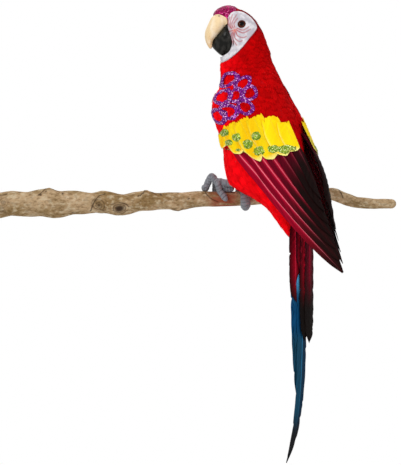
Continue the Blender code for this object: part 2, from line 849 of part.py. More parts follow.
def make_coverts(side_name, side):
    spacing = 1 / (len(COVERTS) - 1)
    for number in range(len(COVERTS)):

        def surface(s, v):
            return covert_surface(s, v, side)

        place = placed_on(
            surface, number * spacing, side, COVERT_LEVEL, COVERT_PITCH, spacing
        )
        feather(
            f"{side_name}_covert_{number + 1}",
            place,
            covert_width,
            covert_width,
            finish("covert_yellow", YELLOW, 0.6),
            COVERT_STATIONS,
            QUILL_HEIGHT * 0.4,
        )


def covert_width(s):
    """Half width of a covert, with a broad round end."""
    swell = 0.7 + 0.3 * min(1.0, s / 0.4)
    return COVERT_HALF_WIDTH * swell * max(0.0, 1 - s**5) ** 0.6 + 0.0008


def make_tail_feather(layer, row):
    """One feather of the tail's fan, ragged along its right edge."""
    across_root, across_tip, tip_height, half_width = row
    forward, left = facing(BODY_FACING)

    def place(s, sideways):
        height = TAIL_ROOT_HEIGHT + (tip_height - TAIL_ROOT_HEIGHT) * s
        across = across_root + (across_tip - across_root) * s**TAIL_SWEEP + sideways
        sink = across**2 / (2 * TAIL_ARCH_RADIUS) + layer * TAIL_LAYER
        point = bird_point(-TAIL_BEHIND + sink, across, height)
        return point, (-forward + left * across / TAIL_ARCH_RADIUS).normalized()

    def ragged(s):
        tooth = (s * TAIL_TEETH) % 1.0 if s < 0.95 else 0.0
        return flight_width(s, half_width, 0.75) * (1 - TAIL_TOOTH * tooth)

    share = min(1.0, max(0.0, -tip_height / 0.3 - 0.4))
    return feather(
        f"tail_feather_{layer + 1}",
        place,
        ragged,
        lambda s: flight_width(s, half_width, 0.75),
        finish(f"tail_dye_{layer + 1}", mixed(MAROON, TAIL_BLUE, share), 0.5),
        TAIL_STATIONS,
        QUILL_HEIGHT,
    )


def wire(name, points, radii, material):
    """A bent wire with filled ends, smooth through its points."""
    curve = bpy.data.curves.new(name, "CURVE")
    curve.dimensions = "3D"
    curve.bevel_depth = 1.0
    curve.bevel_resolution = TOE_RESOLUTION
    curve.use_fill_caps = True
    spline = curve.splines.new("POLY")
    steps = 3 * (len(points) - 1)
    spline.points.add(steps)
    for step in range(steps + 1):
        x, y, z, radius = along_rows(
            [(*point, radius) for point, radius in zip(points, radii)], step / 3
        )
        spline.points[step].co = (x, y, z, 1.0)
        spline.points[step].radius = radius
    guide = bpy.data.objects.new(name, curve)
    bpy.context.scene.collection.objects.link(guide)
    graph = bpy.context.evaluated_depsgraph_get()
    data = bpy.data.meshes.new_from_object(guide.evaluated_get(graph))
    bpy.data.objects.remove(guide)
    data.materials.clear()
    data.materials.append(material)
    made = bpy.data.objects.new(name, data)
    bpy.context.scene.collection.objects.link(made)
    return made


def round_branch(along, degrees, radius):
    """A wire's core where it lies on the branch, from its top (0) to the front (90)."""
    core, wood = branch_at(along)
    reach = wood + radius + SEAT_GAP
    turn = math.radians(degrees)
    return core + Vector((0, -reach * math.sin(turn), reach * math.cos(turn)))


def make_toe(name, knuckle, toe, material):
    """A wire from the knuckle over an arch and round the branch, thinner at its end."""
    first_along, last_along, arch, first, last, girth = toe
    radius = TOE_RADIUS * girth
    points = []
    radii = [radius] * 5 + [radius * CLAW_SHARE]
    for step in range(4):
        share = step / 3
        along = BODY_ALONG + first_along + (last_along - first_along) * share
        turn = first + (last - first) * share
        points.append(round_branch(along, turn, radii[step + 2]))
    points = [knuckle, knuckle.lerp(points[0], 0.5) + Vector(arch)] + points
    return wire(name, points, radii, material)


def make_foot(name, knuckle, leg_top, toes, cutter):
    """Taped toes and a leg, wound together at the knuckle."""
    tape = finish("taped_wire", WIRE_GREY, 0.8)
    beyond = knuckle + (leg_top - knuckle) * 1.2
    foot = wire(name, [knuckle, leg_top, beyond], [LEG_RADIUS] * 3, tape)
    for number, row in enumerate(toes, 1):
        toe = make_toe(f"{name}_toe_{number}", knuckle, row, tape)
        toe.hide_render = True
        toe.display_type = "WIRE"
        boolean(foot, toe, "UNION")
    boolean(foot, cutter, "DIFFERENCE")
    return foot


def make_feet(cutter):
    """Both feet, from places along the branch, behind its core and above its top."""
    origin = Vector((BODY_ALONG, 0, perch_height()))
    for name, knuckle, leg_top, toes in (
        ("left_foot", LEFT_KNUCKLE, LEFT_LEG_TOP, LEFT_TOES),
        ("right_foot", RIGHT_KNUCKLE, RIGHT_LEG_TOP, RIGHT_TOES),
    ):
        make_foot(name, origin + Vector(knuckle), origin + Vector(leg_top), toes, cutter)


def main():
    clear_scene()
    make_branch()
    body = make_body()
    bpy.context.view_layer.update()
    tree = BVHTree.FromObject(body, bpy.context.evaluated_depsgraph_get())
    close_cutter = body_cutter("close_cutter", SEAT_GAP)
    skin_cutter = body_cutter("skin_cutter", 2 * SEAT_GAP + SKIN_THICKNESS)
    make_beak("upper_beak", UPPER_BEAK, finish("horn", HORN, 0.35), skin_cutter)
    make_beak("lower_beak", LOWER_BEAK, finish("black_horn", BLACK_HORN, 0.4), skin_cutter)
    make_forehead_cap(tree)
    for side_name, side in (("left", 1), ("right", -1)):
        make_face_skin(f"{side_name}_face_skin", side, tree)
        make_eye(f"{side_name}_eye", side, tree, skin_cutter)
        make_shoulder_pad(f"{side_name}_shoulder_pad", side)
        make_ring_lace(f"{side_name}_glitter_rings", side)
        make_flight_feathers(side_name, side)
        make_coverts(side_name, side)
    for layer, row in enumerate(TAIL_FEATHERS):
        make_tail_feather(layer, row)
    make_feet(close_cutter)


main()
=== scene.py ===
"""Feathered macaw ornament on a bare branch: plumage, paint, glitter, tape and bark
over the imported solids, with the light and the camera of a plain product photograph."""

import math
import random

import bmesh
import bpy
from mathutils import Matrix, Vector, noise
from mathutils.bvhtree import BVHTree


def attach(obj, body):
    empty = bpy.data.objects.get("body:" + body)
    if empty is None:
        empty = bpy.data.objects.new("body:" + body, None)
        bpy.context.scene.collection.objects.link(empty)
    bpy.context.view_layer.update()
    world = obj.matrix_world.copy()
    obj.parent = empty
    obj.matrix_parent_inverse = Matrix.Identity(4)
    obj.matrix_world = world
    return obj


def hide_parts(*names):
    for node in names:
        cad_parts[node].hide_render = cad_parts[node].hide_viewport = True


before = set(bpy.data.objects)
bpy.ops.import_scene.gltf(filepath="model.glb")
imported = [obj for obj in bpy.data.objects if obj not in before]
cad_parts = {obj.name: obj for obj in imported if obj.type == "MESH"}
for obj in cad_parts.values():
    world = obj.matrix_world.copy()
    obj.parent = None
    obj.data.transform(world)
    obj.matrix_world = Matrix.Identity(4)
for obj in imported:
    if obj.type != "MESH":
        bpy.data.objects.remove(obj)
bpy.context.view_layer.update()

draw = random.Random(11)
bpy.ops.object.select_all(action="DESELECT")

SIDES = (("left", 1), ("right", -1))

# Branch: distance from the butt, rise of the core, radius of the wood
BRANCH_RINGS = (
    (0.0, 0.0, 0.0213), (0.04, 0.002, 0.02), (0.084, 0.003, 0.0225), (0.124, 0.004, 0.0196),
    (0.156, 0.006, 0.0168), (0.168, 0.006, 0.0184), (0.198, 0.003, 0.0172), (0.237, 0.008, 0.0162),
    (0.262, 0.008, 0.0138), (0.289, 0.007, 0.0146), (0.316, 0.01, 0.013), (0.38, 0.011, 0.0121),
    (0.43, 0.013, 0.0111), (0.482, 0.016, 0.0104), (0.532, 0.018, 0.01), (0.546, 0.015, 0.011),
    (0.562, 0.009, 0.0102), (0.575, 0.005, 0.0092), (0.602, 0.004, 0.0083), (0.628, 0.003, 0.0081),
)
BRANCH_TIP_ROUND = 0.0081

# Where the bird sits on the branch, and which way it and its head face
BODY_ALONG = 0.431
FEET_AHEAD = 0.051
BODY_IN_FRONT = 0.05
BODY_FACING = 40.0
HEAD_FACING = 2.0

# Body from the crown down: height above the perch, lean, reach, half depth and
# width, facing
BODY_SECTIONS = (
    (0.2935, 0.045, 0.028, 0.003, 0.003, 2.0), (0.2907, 0.045, 0.027, 0.013, 0.012, 2.0),
    (0.286, 0.045, 0.026, 0.021, 0.017, 2.0), (0.2797, 0.045, 0.023, 0.028, 0.021, 2.0),
    (0.2741, 0.045, 0.018, 0.029, 0.023, 2.0), (0.2686, 0.045, 0.012, 0.0278, 0.0245, 2.0),
    (0.2607, 0.045, 0.006, 0.0265, 0.026, 2.0), (0.2481, 0.045, 0.0, 0.0277, 0.027, 2.0),
    (0.2323, 0.045, -0.003, 0.03, 0.0272, 2.0), (0.2196, 0.045, -0.003, 0.0348, 0.0276, 3.0),
    (0.207, 0.044, 0.0, 0.0395, 0.03, 9.0), (0.1943, 0.041, 0.0, 0.0437, 0.033, 16.0),
    (0.1754, 0.0345, 0.0, 0.049, 0.04, 28.0), (0.1564, 0.032, 0.0, 0.0565, 0.048, 36.0),
    (0.1375, 0.028, 0.0, 0.0625, 0.055, 40.0), (0.1185, 0.021, 0.0, 0.0675, 0.058, 40.0),
    (0.0995, 0.014, 0.0, 0.069, 0.0595, 40.0), (0.0711, 0.007, 0.0, 0.067, 0.06, 40.0),
    (0.0427, 0.006, 0.0, 0.0675, 0.0585, 40.0), (0.0205, 0.002, 0.0, 0.068, 0.053, 40.0),
    (0.006, -0.005, 0.0, 0.0655, 0.048, 40.0), (-0.0079, -0.0205, 0.0, 0.0465, 0.039, 40.0),
    (-0.0269, -0.0347, 0.0, 0.026, 0.031, 40.0), (-0.049, -0.045, 0.0, 0.0158, 0.024, 40.0),
    (-0.067, -0.053, 0.0, 0.0078, 0.017, 40.0), (-0.076, -0.0555, 0.0, 0.0045, 0.009, 40.0),
)

# Cheek skin: its edge by the beak and its edge by the crown, in side view
SKIN_FRONT = (
    (0.0173, 0.283), (0.023, 0.2803), (0.0269, 0.2748), (0.0271, 0.2669), (0.0269, 0.259),
    (0.0243, 0.2511), (0.0213, 0.2425), (0.0197, 0.2339), (0.0215, 0.226), (0.0252, 0.2195),
    (0.0317, 0.2148), (0.0373, 0.2126), (0.0401, 0.212),
)
SKIN_REAR = (
    (0.0108, 0.2833), (0.0022, 0.2806), (-0.0064, 0.2748), (-0.0136, 0.2669), (-0.0173, 0.2583),
    (-0.0139, 0.2511), (-0.0071, 0.2425), (-0.0007, 0.2339), (0.0057, 0.226), (0.0134, 0.2181),
    (0.0223, 0.2106), (0.0309, 0.2054), (0.0384, 0.2031),
)
EYE_FORWARD = 0.0058
EYE_HEIGHT = 0.2635
EYE_RADIUS = 0.007
EYE_TOP = 0.0069
EYE_FLATTENING = 0.35
FELT_LIFT = 0.0016
CHIN_HALF_WIDTH = 0.0045
CAP_MIDDLE = (0.018, 0.266)
NOSTRIL = (0.0425, 0.277)
HORN_CLEARANCE = 0.003

# Lines painted on the cheek, from the spot below the eye: to the rear of the eye
# and above it, in millimetres
CHEEK_LINES = (
    ((-15.5, -6.3), (-20.4, 2.4), (-18.5, 10.3)), ((-14.7, -6.3), (-17.4, 2.4), (-14.7, 14.2)),
    ((-12.5, -5.5), (-14.7, 2.4), (-8.4, 14.2)), ((-10.0, -4.7), (-11.5, 1.6), (-6.8, 8.7)),
    ((-6.8, -6.3), (2.4, -9.5), (10.3, -4.7)), ((-7.6, -8.5), (2.4, -13.9), (13.1, -8.5)),
    ((-8.5, -11.5), (-5.5, -18.3), (2.4, -21.3), (7.3, -19.4)),
    ((-10.6, -12.5), (-9.5, -21.3), (-3.6, -27.3), (1.1, -26.2)),
    ((-11.8, -13.4), (-12.5, -23.4), (-6.8, -33.2)),
    ((-13.4, -12.5), (-15.5, -21.3), (-11.5, -31.3)), ((-13.4, -9.5), (-18.5, -10.4)),
)
CHEEK_SPOT = (-10.3, -9.5)

# Wings: angles run round the body from the middle of the back to the front
WING_FEATHERS = 7
WING_ROOT_LOW = 0.081
WING_ROOT_HIGH = 0.089
WING_FRONT_ANGLE = 105.0
WING_BACK_ANGLE = 17.0
WING_TIP_BEHIND = 0.153
WING_TIP_HEIGHT = -0.129
WING_END_BEHIND = 0.11
WING_END_HEIGHT = -0.015
WING_TIP_APART = 0.005
WING_BULGE = 0.009
FLIGHT_HALF_WIDTH = 0.0185
FLIGHT_LEVEL = 0.0031
FLIGHT_PITCH = 0.0019
PAD_TOP = 0.179
PAD_BOTTOM = 0.104
PAD_LOWER_EDGE = 0.0042
PAD_EDGE = 0.001
PAD_BULK = 0.0095
PAD_BULK_ANGLE = 122.0
PAD_BULK_SPREAD = 40.0
SEAT_GAP = 0.0006
COVERTS = (
    (0.093, 0.028), (0.1035, 0.0485), (0.1105, 0.07), (0.114, 0.073), (0.114, 0.07), (0.105, 0.05),
)
COVERT_HALF_WIDTH = 0.0175
COVERT_LEVEL = 0.0058
COVERT_PITCH = 0.0012
COVERT_FRONT_ANGLE = 118.0
COVERT_BACK_ANGLE = 22.0
TILE_REACH = 0.3
BACK_REACH = 0.09

# Glitter rings: to the front of a line up the pad, height, stretch
RINGS = (
    (0.008, 0.176, 1.9), (-0.0285, 0.169, 1.2), (0.0, 0.148, 1.6), (-0.024, 0.15, 0.95),
    (-0.047, 0.153, 1.0), (-0.0405, 0.1311, 1.0), (-0.0125, 0.1245, 1.35), (0.0135, 0.1178, 1.85),
)
RING_ANGLE = 105.0
RING_BEND_RADIUS = 0.062
RING_RADIUS = 0.0105
RING_WIDTH = 0.0054

# Tail feathers: across the root, across the tip, tip height, half width
TAIL_FEATHERS = (
    (-0.022, -0.021, -0.24, 0.0155), (0.001, 0.004, -0.156, 0.011), (0.012, 0.01, -0.175, 0.013),
    (-0.0065, 0.029, -0.4266, 0.0128), (0.001, 0.001, -0.3, 0.015), (0.004, 0.004, -0.327, 0.014),
    (-0.0125, -0.012, -0.19, 0.0135),
)
TAIL_ROOT_HEIGHT = -0.043
TAIL_BEHIND = 0.069
TAIL_LAYER = 0.0013
TAIL_ARCH_RADIUS = 0.1
TAIL_SWEEP = 5


def along_rows(rows, place):
    """The numbers at a place, in rows, on a smooth curve through all the rows."""
    last = len(rows) - 1
    place = min(max(place, 0.0), float(last))
    index = min(int(place), last - 1)
    t = place - index
    before = rows[max(index - 1, 0)]
    start = rows[index]
    end = rows[index + 1]
    after = rows[min(index + 2, last)]
    numbers = []
    for p0, p1, p2, p3 in zip(before, start, end, after):
        slope_in = (p2 - p0) / 2
        slope_out = (p3 - p1) / 2
        numbers.append(
            (2 * t**3 - 3 * t**2 + 1) * p1
            + (t**3 - 2 * t**2 + t) * slope_in
            + (3 * t**2 - 2 * t**3) * p2
            + (t**3 - t**2) * slope_out
        )
    return numbers


def facing(degrees):
    """Forward and left of something turned this far from the branch's butt end."""
    turn = math.radians(degrees)
    forward = Vector((-math.cos(turn), math.sin(turn), 0.0))
    left = Vector((-math.sin(turn), -math.cos(turn), 0.0))
    return forward, left


HEAD_AHEAD, HEAD_LEFT = facing(HEAD_FACING)
BODY_AHEAD, BODY_LEFT = facing(BODY_FACING)


def branch_at(along):
    """The core and the radius of the branch at a distance from its butt."""
    for index in range(len(BRANCH_RINGS) - 1):
        if along <= BRANCH_RINGS[index + 1][0]:
            break
    start, end = BRANCH_RINGS[index][0], BRANCH_RINGS[index + 1][0]
    place = index + (along - start) / (end - start)
    _, rise, radius = along_rows(BRANCH_RINGS, place)
    return Vector((along, 0.0, rise)), radius


perch_core, perch_radius = branch_at(BODY_ALONG - FEET_AHEAD)
PERCH = perch_core.z + perch_radius


def bird_point(forward, left, height):
    origin = Vector((BODY_ALONG, -BODY_IN_FRONT, PERCH))
    return origin + BODY_AHEAD * forward + BODY_LEFT * left + Vector((0, 0, height))


SECTION_STEPS = 600
SECTION_TABLE = [
    along_rows(BODY_SECTIONS, (len(BODY_SECTIONS) - 1) * step / SECTION_STEPS)
    for step in range(SECTION_STEPS + 1)
]


def body_section(height):
    """Core, forward and left half axes of the body at a height above the perch."""
    low, high = 0, SECTION_STEPS
    while high - low > 1:
        middle = (low + high) // 2
        if SECTION_TABLE[middle][0] > height:
            low = middle
        else:
            high = middle
    upper, lower = SECTION_TABLE[low], SECTION_TABLE[high]
    span = upper[0] - lower[0]
    share = min(1.0, max(0.0, (upper[0] - height) / span)) if span > 1e-9 else 0.0
    row = [a + (b - a) * share for a, b in zip(upper, lower)]
    forward, left = facing(row[5])
    core = bird_point(row[1], 0.0, row[0]) + forward * row[2]
    return core, forward * row[3], left * row[4]


def body_point(height, angle, side=1, grow=0.0):
    core, forward, left = body_section(height)
    turn = math.radians(angle)
    depth = forward.length + grow
    width = left.length + grow
    return (
        core
        - forward.normalized() * depth * math.cos(turn)
        + left.normalized() * width * math.sin(turn) * side
    )


def outside_body(point, gap):
    """The point, moved level outwards where it would be nearer the body than the gap."""
    height = point.z - PERCH
    if not BODY_SECTIONS[-1][0] <= height <= BODY_SECTIONS[0][0]:
        return point
    core, forward, left = body_section(height)
    away = point - core
    ahead = away.dot(forward.normalized()) / (forward.length + gap)
    beside = away.dot(left.normalized()) / (left.length + gap)
    share = math.hypot(ahead, beside)
    if share >= 1.0 or share < 1e-6:
        return point
    moved = away / share
    return core + Vector((moved.x, moved.y, away.z))


def head_point(forward, height, left=0.0):
    neck = bird_point(BODY_SECTIONS[8][1], 0.0, height)
    return neck + HEAD_AHEAD * forward + HEAD_LEFT * left


def wing_root(v, side):
    height = WING_ROOT_LOW + (WING_ROOT_HIGH - WING_ROOT_LOW) * v
    angle = WING_FRONT_ANGLE + (WING_BACK_ANGLE - WING_FRONT_ANGLE) * v
    return body_point(height, angle, side)


def wing_tip(v, side):
    behind = WING_TIP_BEHIND + (WING_END_BEHIND - WING_TIP_BEHIND) * v
    height = WING_TIP_HEIGHT + (WING_END_HEIGHT - WING_TIP_HEIGHT) * v
    return bird_point(-behind, side * WING_TIP_APART * (0.5 + v), height)


def wing_surface(s, v, side):
    """The folded wing's underside, at a share s of the way to the tip."""
    root, tip = wing_root(v, side), wing_tip(v, side)
    outward = (BODY_LEFT * side * (1 - 0.6 * v) - BODY_AHEAD * 0.8 * v).normalized()
    bulge = WING_BULGE * math.sin(math.pi * s)
    return outside_body(root.lerp(tip, s) + outward * bulge, SEAT_GAP)


def covert_surface(s, v, side):
    """The face that the coverts lie on: the body, then the roots of the flights."""
    angle = COVERT_FRONT_ANGLE + (COVERT_BACK_ANGLE - COVERT_FRONT_ANGLE) * v
    height, length = along_rows(COVERTS, v * (len(COVERTS) - 1))
    top = body_point(height, angle, side)
    root_v = (WING_FRONT_ANGLE - angle) / (WING_FRONT_ANGLE - WING_BACK_ANGLE)
    root, tip = wing_root(root_v, side), wing_tip(root_v, side)
    fall = length - (top - root).length
    low = wing_surface(fall / (tip - root).length, root_v, side)
    return outside_body(top.lerp(low, s), SEAT_GAP)


def surface_frame(surface, s, v):
    step = 0.02
    along = (surface(s + step, v) - surface(s - step, v)) / (2 * step)
    across = (surface(s, v + step) - surface(s, v - step)) / (2 * step)
    return along, across, along.cross(across).normalized()


def eased(value, limit):
    return limit * math.tanh(value / limit)


def placed_on(surface, shaft, side, level, pitch, spacing):
    """Turns a place on a feather into a point and a normal, laid like a roof tile."""

    def place(s, sideways):
        along, across, _ = surface_frame(surface, s, shaft)
        heading = along.normalized()
        square = across - heading * across.dot(heading)
        v = shaft + eased(sideways / square.length, TILE_REACH)
        if v > 1.0:
            v = 1.0 + eased(v - 1.0, BACK_REACH)
        ds = (shaft - v) * across.dot(heading) / along.length
        point = surface(s + ds, v)
        _, _, normal = surface_frame(surface, s + ds, v)
        lift = level - pitch * (v - shaft) / spacing
        return point + normal * side * lift, normal * side

    return place


def swelling(s, full, at_root, swollen, blunt, power, least):
    """Half width of a vane: fuller from root to swollen, then drawn in to a blunt tip."""
    swell = at_root + (1 - at_root) * min(1.0, s / swollen)
    return full * swell * max(0.0, 1 - s**blunt) ** power + least


def covert_width(s):
    return swelling(s, COVERT_HALF_WIDTH, 0.7, 0.4, 5, 0.6, 0.0008)


def pad_offset(height, angle):
    rise = (height - PAD_BOTTOM) / (PAD_TOP - PAD_BOTTOM)
    lower = PAD_LOWER_EDGE * (1 - rise) + PAD_EDGE * rise
    bulge = bell(angle - PAD_BULK_ANGLE, PAD_BULK_SPREAD)
    bulge *= max(0.0, math.sin(math.pi * rise)) ** 1.1
    return SEAT_GAP + lower + (PAD_BULK - PAD_LOWER_EDGE) * bulge


def mixed(a, b, share):
    share = min(1.0, max(0.0, share))
    return tuple(x + (y - x) * share for x, y in zip(a, b))


def uneven_at(x, y, z):
    """Smooth noise between -1 and 1."""
    return noise.noise(Vector((x, y, z)))


def bell(value, width):
    """1 where the value is 0, and next to nothing a few widths away from it."""
    return math.exp(-((value / width) ** 2))


def smooth_step(low, high, value):
    t = min(1.0, max(0.0, (value - low) / (high - low)))
    return t * t * (3 - 2 * t)


# ---- Nodes and finishes


def node(tree, kind, sockets=(), **settings):
    """A node with its settings made and its inputs set or linked."""
    made = tree.nodes.new(kind)
    for name, value in settings.items():
        setattr(made, name, value)
    for key, value in dict(sockets).items():
        socket = made.inputs[key]
        if isinstance(value, bpy.types.NodeSocket):
            tree.links.new(value, socket)
        else:
            socket.default_value = value
    return made


def maths(tree, operation, a, b=0.0, c=0.0, clamp=False):
    made = node(tree, "ShaderNodeMath", operation=operation, use_clamp=clamp)
    for index, value in enumerate((a, b, c)):
        if isinstance(value, bpy.types.NodeSocket):
            tree.links.new(value, made.inputs[index])
        else:
            made.inputs[index].default_value = value
    return made.outputs[0]


def times(tree, a, b):
    return maths(tree, "MULTIPLY", a, b)


def ramp(tree, value, low, high):
    """0 below low, 1 above high, smooth between."""
    sockets = {"Value": value, "From Min": low, "From Max": high}
    made = node(tree, "ShaderNodeMapRange", sockets, interpolation_type="SMOOTHSTEP")
    return made.outputs["Result"]


def told(tree, name, output="Fac"):
    """What the mesh carries at each corner under this name."""
    return node(tree, "ShaderNodeAttribute", attribute_name=name).outputs[output]


def place_in(tree, space):
    return node(tree, "ShaderNodeTexCoord").outputs[space]


def parts_of(tree, vector):
    return node(tree, "ShaderNodeSeparateXYZ", {"Vector": vector}).outputs


def turned(tree, operation, **sockets):
    """Vector maths: a and b are the two vectors."""
    names = {"a": 0, "b": 1, "scale": "Scale"}
    values = {names[key]: value for key, value in sockets.items()}
    return node(tree, "ShaderNodeVectorMath", values, operation=operation).outputs[0]


def rough(tree, detail, scale=1.0, **sockets):
    """Soft noise, along a line where W is given."""
    sockets = {"Scale": scale, "Detail": detail, **sockets}
    made = node(
        tree, "ShaderNodeTexNoise", sockets, noise_dimensions="1D" if "W" in sockets else "3D"
    )
    return made.outputs["Fac"]


def blended(tree, share, a, b, way="MIX"):
    made = node(tree, "ShaderNodeMix", data_type="RGBA", blend_type=way)
    for index, value in ((0, share), (6, a), (7, b)):
        if isinstance(value, bpy.types.NodeSocket):
            tree.links.new(value, made.inputs[index])
        elif index == 0:
            made.inputs[0].default_value = value
        else:
            made.inputs[index].default_value = (*value, 1.0)
    return made.outputs[2]


def new_group(name, inputs, outputs):
    """An empty node group with named sockets: numbers in, numbers or colours out."""
    tree = bpy.data.node_groups.new(name, "ShaderNodeTree")
    for label, kind, value in inputs:
        socket = tree.interface.new_socket(label, in_out="INPUT", socket_type=kind)
        socket.default_value = value
    for label, kind in outputs:
        tree.interface.new_socket(label, in_out="OUTPUT", socket_type=kind)
    entry = tree.nodes.new("NodeGroupInput").outputs
    exit_sockets = tree.nodes.new("NodeGroupOutput").inputs
    return tree, entry, exit_sockets


FLOAT, COLOUR, VECTOR = "NodeSocketFloat", "NodeSocketColor", "NodeSocketVector"


def make_barbs():
    """Fine barbs that slant from a feather's shaft, on its own UV map."""
    tree, given, out = new_group(
        "barbs",
        (("Along", FLOAT, 60.0), ("Slant", FLOAT, 10.0), ("Shaft", FLOAT, 0.05)),
        (("Streak", FLOAT), ("Clump", FLOAT), ("Shaft", FLOAT)),
    )
    uv = place_in(tree, "UV")
    parts = parts_of(tree, uv)
    tint = told(tree, "tint")
    signed = maths(tree, "MULTIPLY_ADD", parts["X"], 2.0, -1.0)
    away = maths(tree, "ABSOLUTE", signed)
    along = times(tree, parts["Y"], given["Along"])
    barb = maths(tree, "SUBTRACT", along, times(tree, away, given["Slant"]))
    shift = times(tree, maths(tree, "SIGN", signed), 31.7)
    barb = maths(tree, "ADD", barb, maths(tree, "ADD", shift, times(tree, tint, 97.0)))
    narrowing = maths(tree, "MULTIPLY_ADD", parts["Y"], -0.75, 1.0)
    width = times(tree, given["Shaft"], narrowing)
    shaft = maths(tree, "SUBTRACT", 1.0, maths(tree, "DIVIDE", away, width), clamp=True)
    tree.links.new(rough(tree, 2.0, W=barb, Roughness=0.7), out["Streak"])
    tree.links.new(rough(tree, 1.0, W=times(tree, barb, 0.12)), out["Clump"])
    tree.links.new(ramp(tree, shaft, 0.0, 0.5), out["Shaft"])
    return tree


def make_glitter():
    """Coarse flakes in glue: each has its own colour, shine and tilt, and a share of them take a
    pale colour as painted glints.
    """
    tree, given, out = new_group(
        "glitter",
        (
            ("Scale", FLOAT, 900.0),
            ("Dark", COLOUR, (0.1, 0.01, 0.2, 1)),
            ("Mid", COLOUR, (0.4, 0.05, 0.6, 1)),
            ("Spark", COLOUR, (0.9, 0.7, 1.0, 1)),
            ("Sparks", FLOAT, 0.14),
            ("Tilt", FLOAT, 0.8),
        ),
        (("Color", COLOUR), ("Metallic", FLOAT), ("Normal", VECTOR)),
    )
    sockets = {"Vector": place_in(tree, "Object"), "Scale": given["Scale"]}
    flakes = node(tree, "ShaderNodeTexVoronoi", sockets).outputs
    chance = parts_of(tree, flakes["Color"])
    colour = blended(tree, ramp(tree, chance["X"], 0.25, 0.75), given["Dark"], given["Mid"])
    # Painted glints: a share of the flakes take a pale colour in place of their own
    over = maths(tree, "SUBTRACT", 1.0, given["Sparks"])
    painted_glint = maths(tree, "GREATER_THAN", chance["Y"], over)
    centred = turned(tree, "SUBTRACT", a=flakes["Color"], b=(0.5, 0.5, 0.5))
    tilt = turned(tree, "SCALE", a=centred, scale=given["Tilt"])
    normal = node(tree, "ShaderNodeNewGeometry").outputs["Normal"]
    leaned = turned(tree, "NORMALIZE", a=turned(tree, "ADD", a=normal, b=tilt))
    tree.links.new(blended(tree, painted_glint, colour, given["Spark"]), out["Color"])
    tree.links.new(times(tree, chance["Z"], 0.8), out["Metallic"])
    tree.links.new(leaned, out["Normal"])
    return tree


def make_mottle():
    """Soft uneven colour and a fine tooth, at two scales."""
    tree, given, out = new_group(
        "mottle",
        (("Broad", FLOAT, 40.0), ("Fine", FLOAT, 600.0), ("Stretch", VECTOR, (1, 1, 1))),
        (("Broad", FLOAT), ("Fine", FLOAT)),
    )
    drawn = turned(tree, "MULTIPLY", a=place_in(tree, "Object"), b=given["Stretch"])
    for label, detail in (("Broad", 3.0), ("Fine", 2.0)):
        tree.links.new(rough(tree, detail, given[label], Vector=drawn), out[label])
    return tree


BARBS, GLITTER, MOTTLE = make_barbs(), make_glitter(), make_mottle()


def group(tree, which, **values):
    made = node(tree, "ShaderNodeGroup", node_tree=which)
    for label, value in values.items():
        socket = made.inputs[label]
        if isinstance(value, tuple) and len(value) == 3 and socket.type == "RGBA":
            value = (*value, 1.0)
        socket.default_value = value
    return made.outputs


def new_finish(name, roughness, **shader_values):
    made = bpy.data.materials.new(name)
    made.use_nodes = True
    tree = made.node_tree
    shader = tree.nodes["Principled BSDF"]
    shader.inputs["Roughness"].default_value = roughness
    shader.inputs["Specular IOR Level"].default_value = 0.08
    for label, value in shader_values.items():
        shader.inputs[label.replace("_", " ")].default_value = value
    return made, tree, shader


def painted(tree, shader, colour, *layers):
    """The base colour, with others laid over it, each by its own mask."""
    for mask, shade in layers:
        colour = blended(tree, mask, colour, shade)
    tree.links.new(colour, shader.inputs["Base Color"])


def bumped(tree, shader, height, distance, strength=1.0):
    sockets = {"Height": height, "Distance": distance, "Strength": strength}
    made = node(tree, "ShaderNodeBump", sockets)
    tree.links.new(made.outputs["Normal"], shader.inputs["Normal"])


def feather_finish(name, along, slant, shaft, shaft_colour, roughness, contrast, ragged=False):
    """A dyed feather: its own dye, barbs, a shaft, and hairy ends if it is short."""
    made, tree, shader = new_finish(name, roughness, Specular_IOR_Level=0.03)
    barbs = group(tree, BARBS, Along=along, Slant=slant, Shaft=shaft)
    tint = told(tree, "tint")
    shade = maths(tree, "MULTIPLY_ADD", barbs["Streak"], contrast, 1.0 - contrast / 2)
    broad = maths(tree, "MULTIPLY_ADD", barbs["Clump"], contrast, 1.0 - contrast / 2)
    lot = maths(tree, "MULTIPLY_ADD", tint, 0.3, 0.85)
    shade = times(tree, shade, times(tree, broad, lot))
    grey = node(tree, "ShaderNodeCombineXYZ", {"X": shade, "Y": shade, "Z": shade}).outputs[0]
    colour = blended(tree, 1.0, told(tree, "feather_colour", "Color"), grey, "MULTIPLY")
    painted(tree, shader, colour, (times(tree, barbs["Shaft"], told(tree, "shaft")), shaft_colour))
    height = maths(tree, "ADD", barbs["Streak"], times(tree, barbs["Shaft"], 2.0))
    bumped(tree, shader, height, 0.0004, 0.6)
    if ragged:
        parts = parts_of(tree, place_in(tree, "UV"))
        strand = maths(tree, "ADD", times(tree, parts["X"], 13.0), times(tree, tint, 50.0))
        hair = rough(tree, 1.0, W=strand)
        end = maths(tree, "MULTIPLY_ADD", parts["Y"], 1.55, -0.95)
        cut = maths(tree, "SUBTRACT", maths(tree, "MULTIPLY_ADD", hair, 1.6, -0.3), end)
        tree.links.new(maths(tree, "GREATER_THAN", cut, 0.0), shader.inputs["Alpha"])
    return made


# ---- Mesh tools


def keep(piece, finish, name, slot, *nodes):
    """Dresses a finished piece, names it and hangs it on the body."""
    piece.data.materials.append(finish)
    for face in piece.data.polygons:
        face.use_smooth = True
    piece.name = piece.data.name = name
    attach(piece, "root")
    if nodes:
        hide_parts(*nodes)


def stood(name, data):
    """A new object in the scene, with this mesh or camera in it."""
    made = bpy.data.objects.new(name, data)
    bpy.context.scene.collection.objects.link(made)
    return made


def built(name, corners, faces):
    data = bpy.data.meshes.new(name)
    data.from_pydata(corners, [], faces)
    return stood(name, data)


def hold(piece):
    bpy.ops.object.select_all(action="DESELECT")
    piece.select_set(True)
    bpy.context.view_layer.objects.active = piece


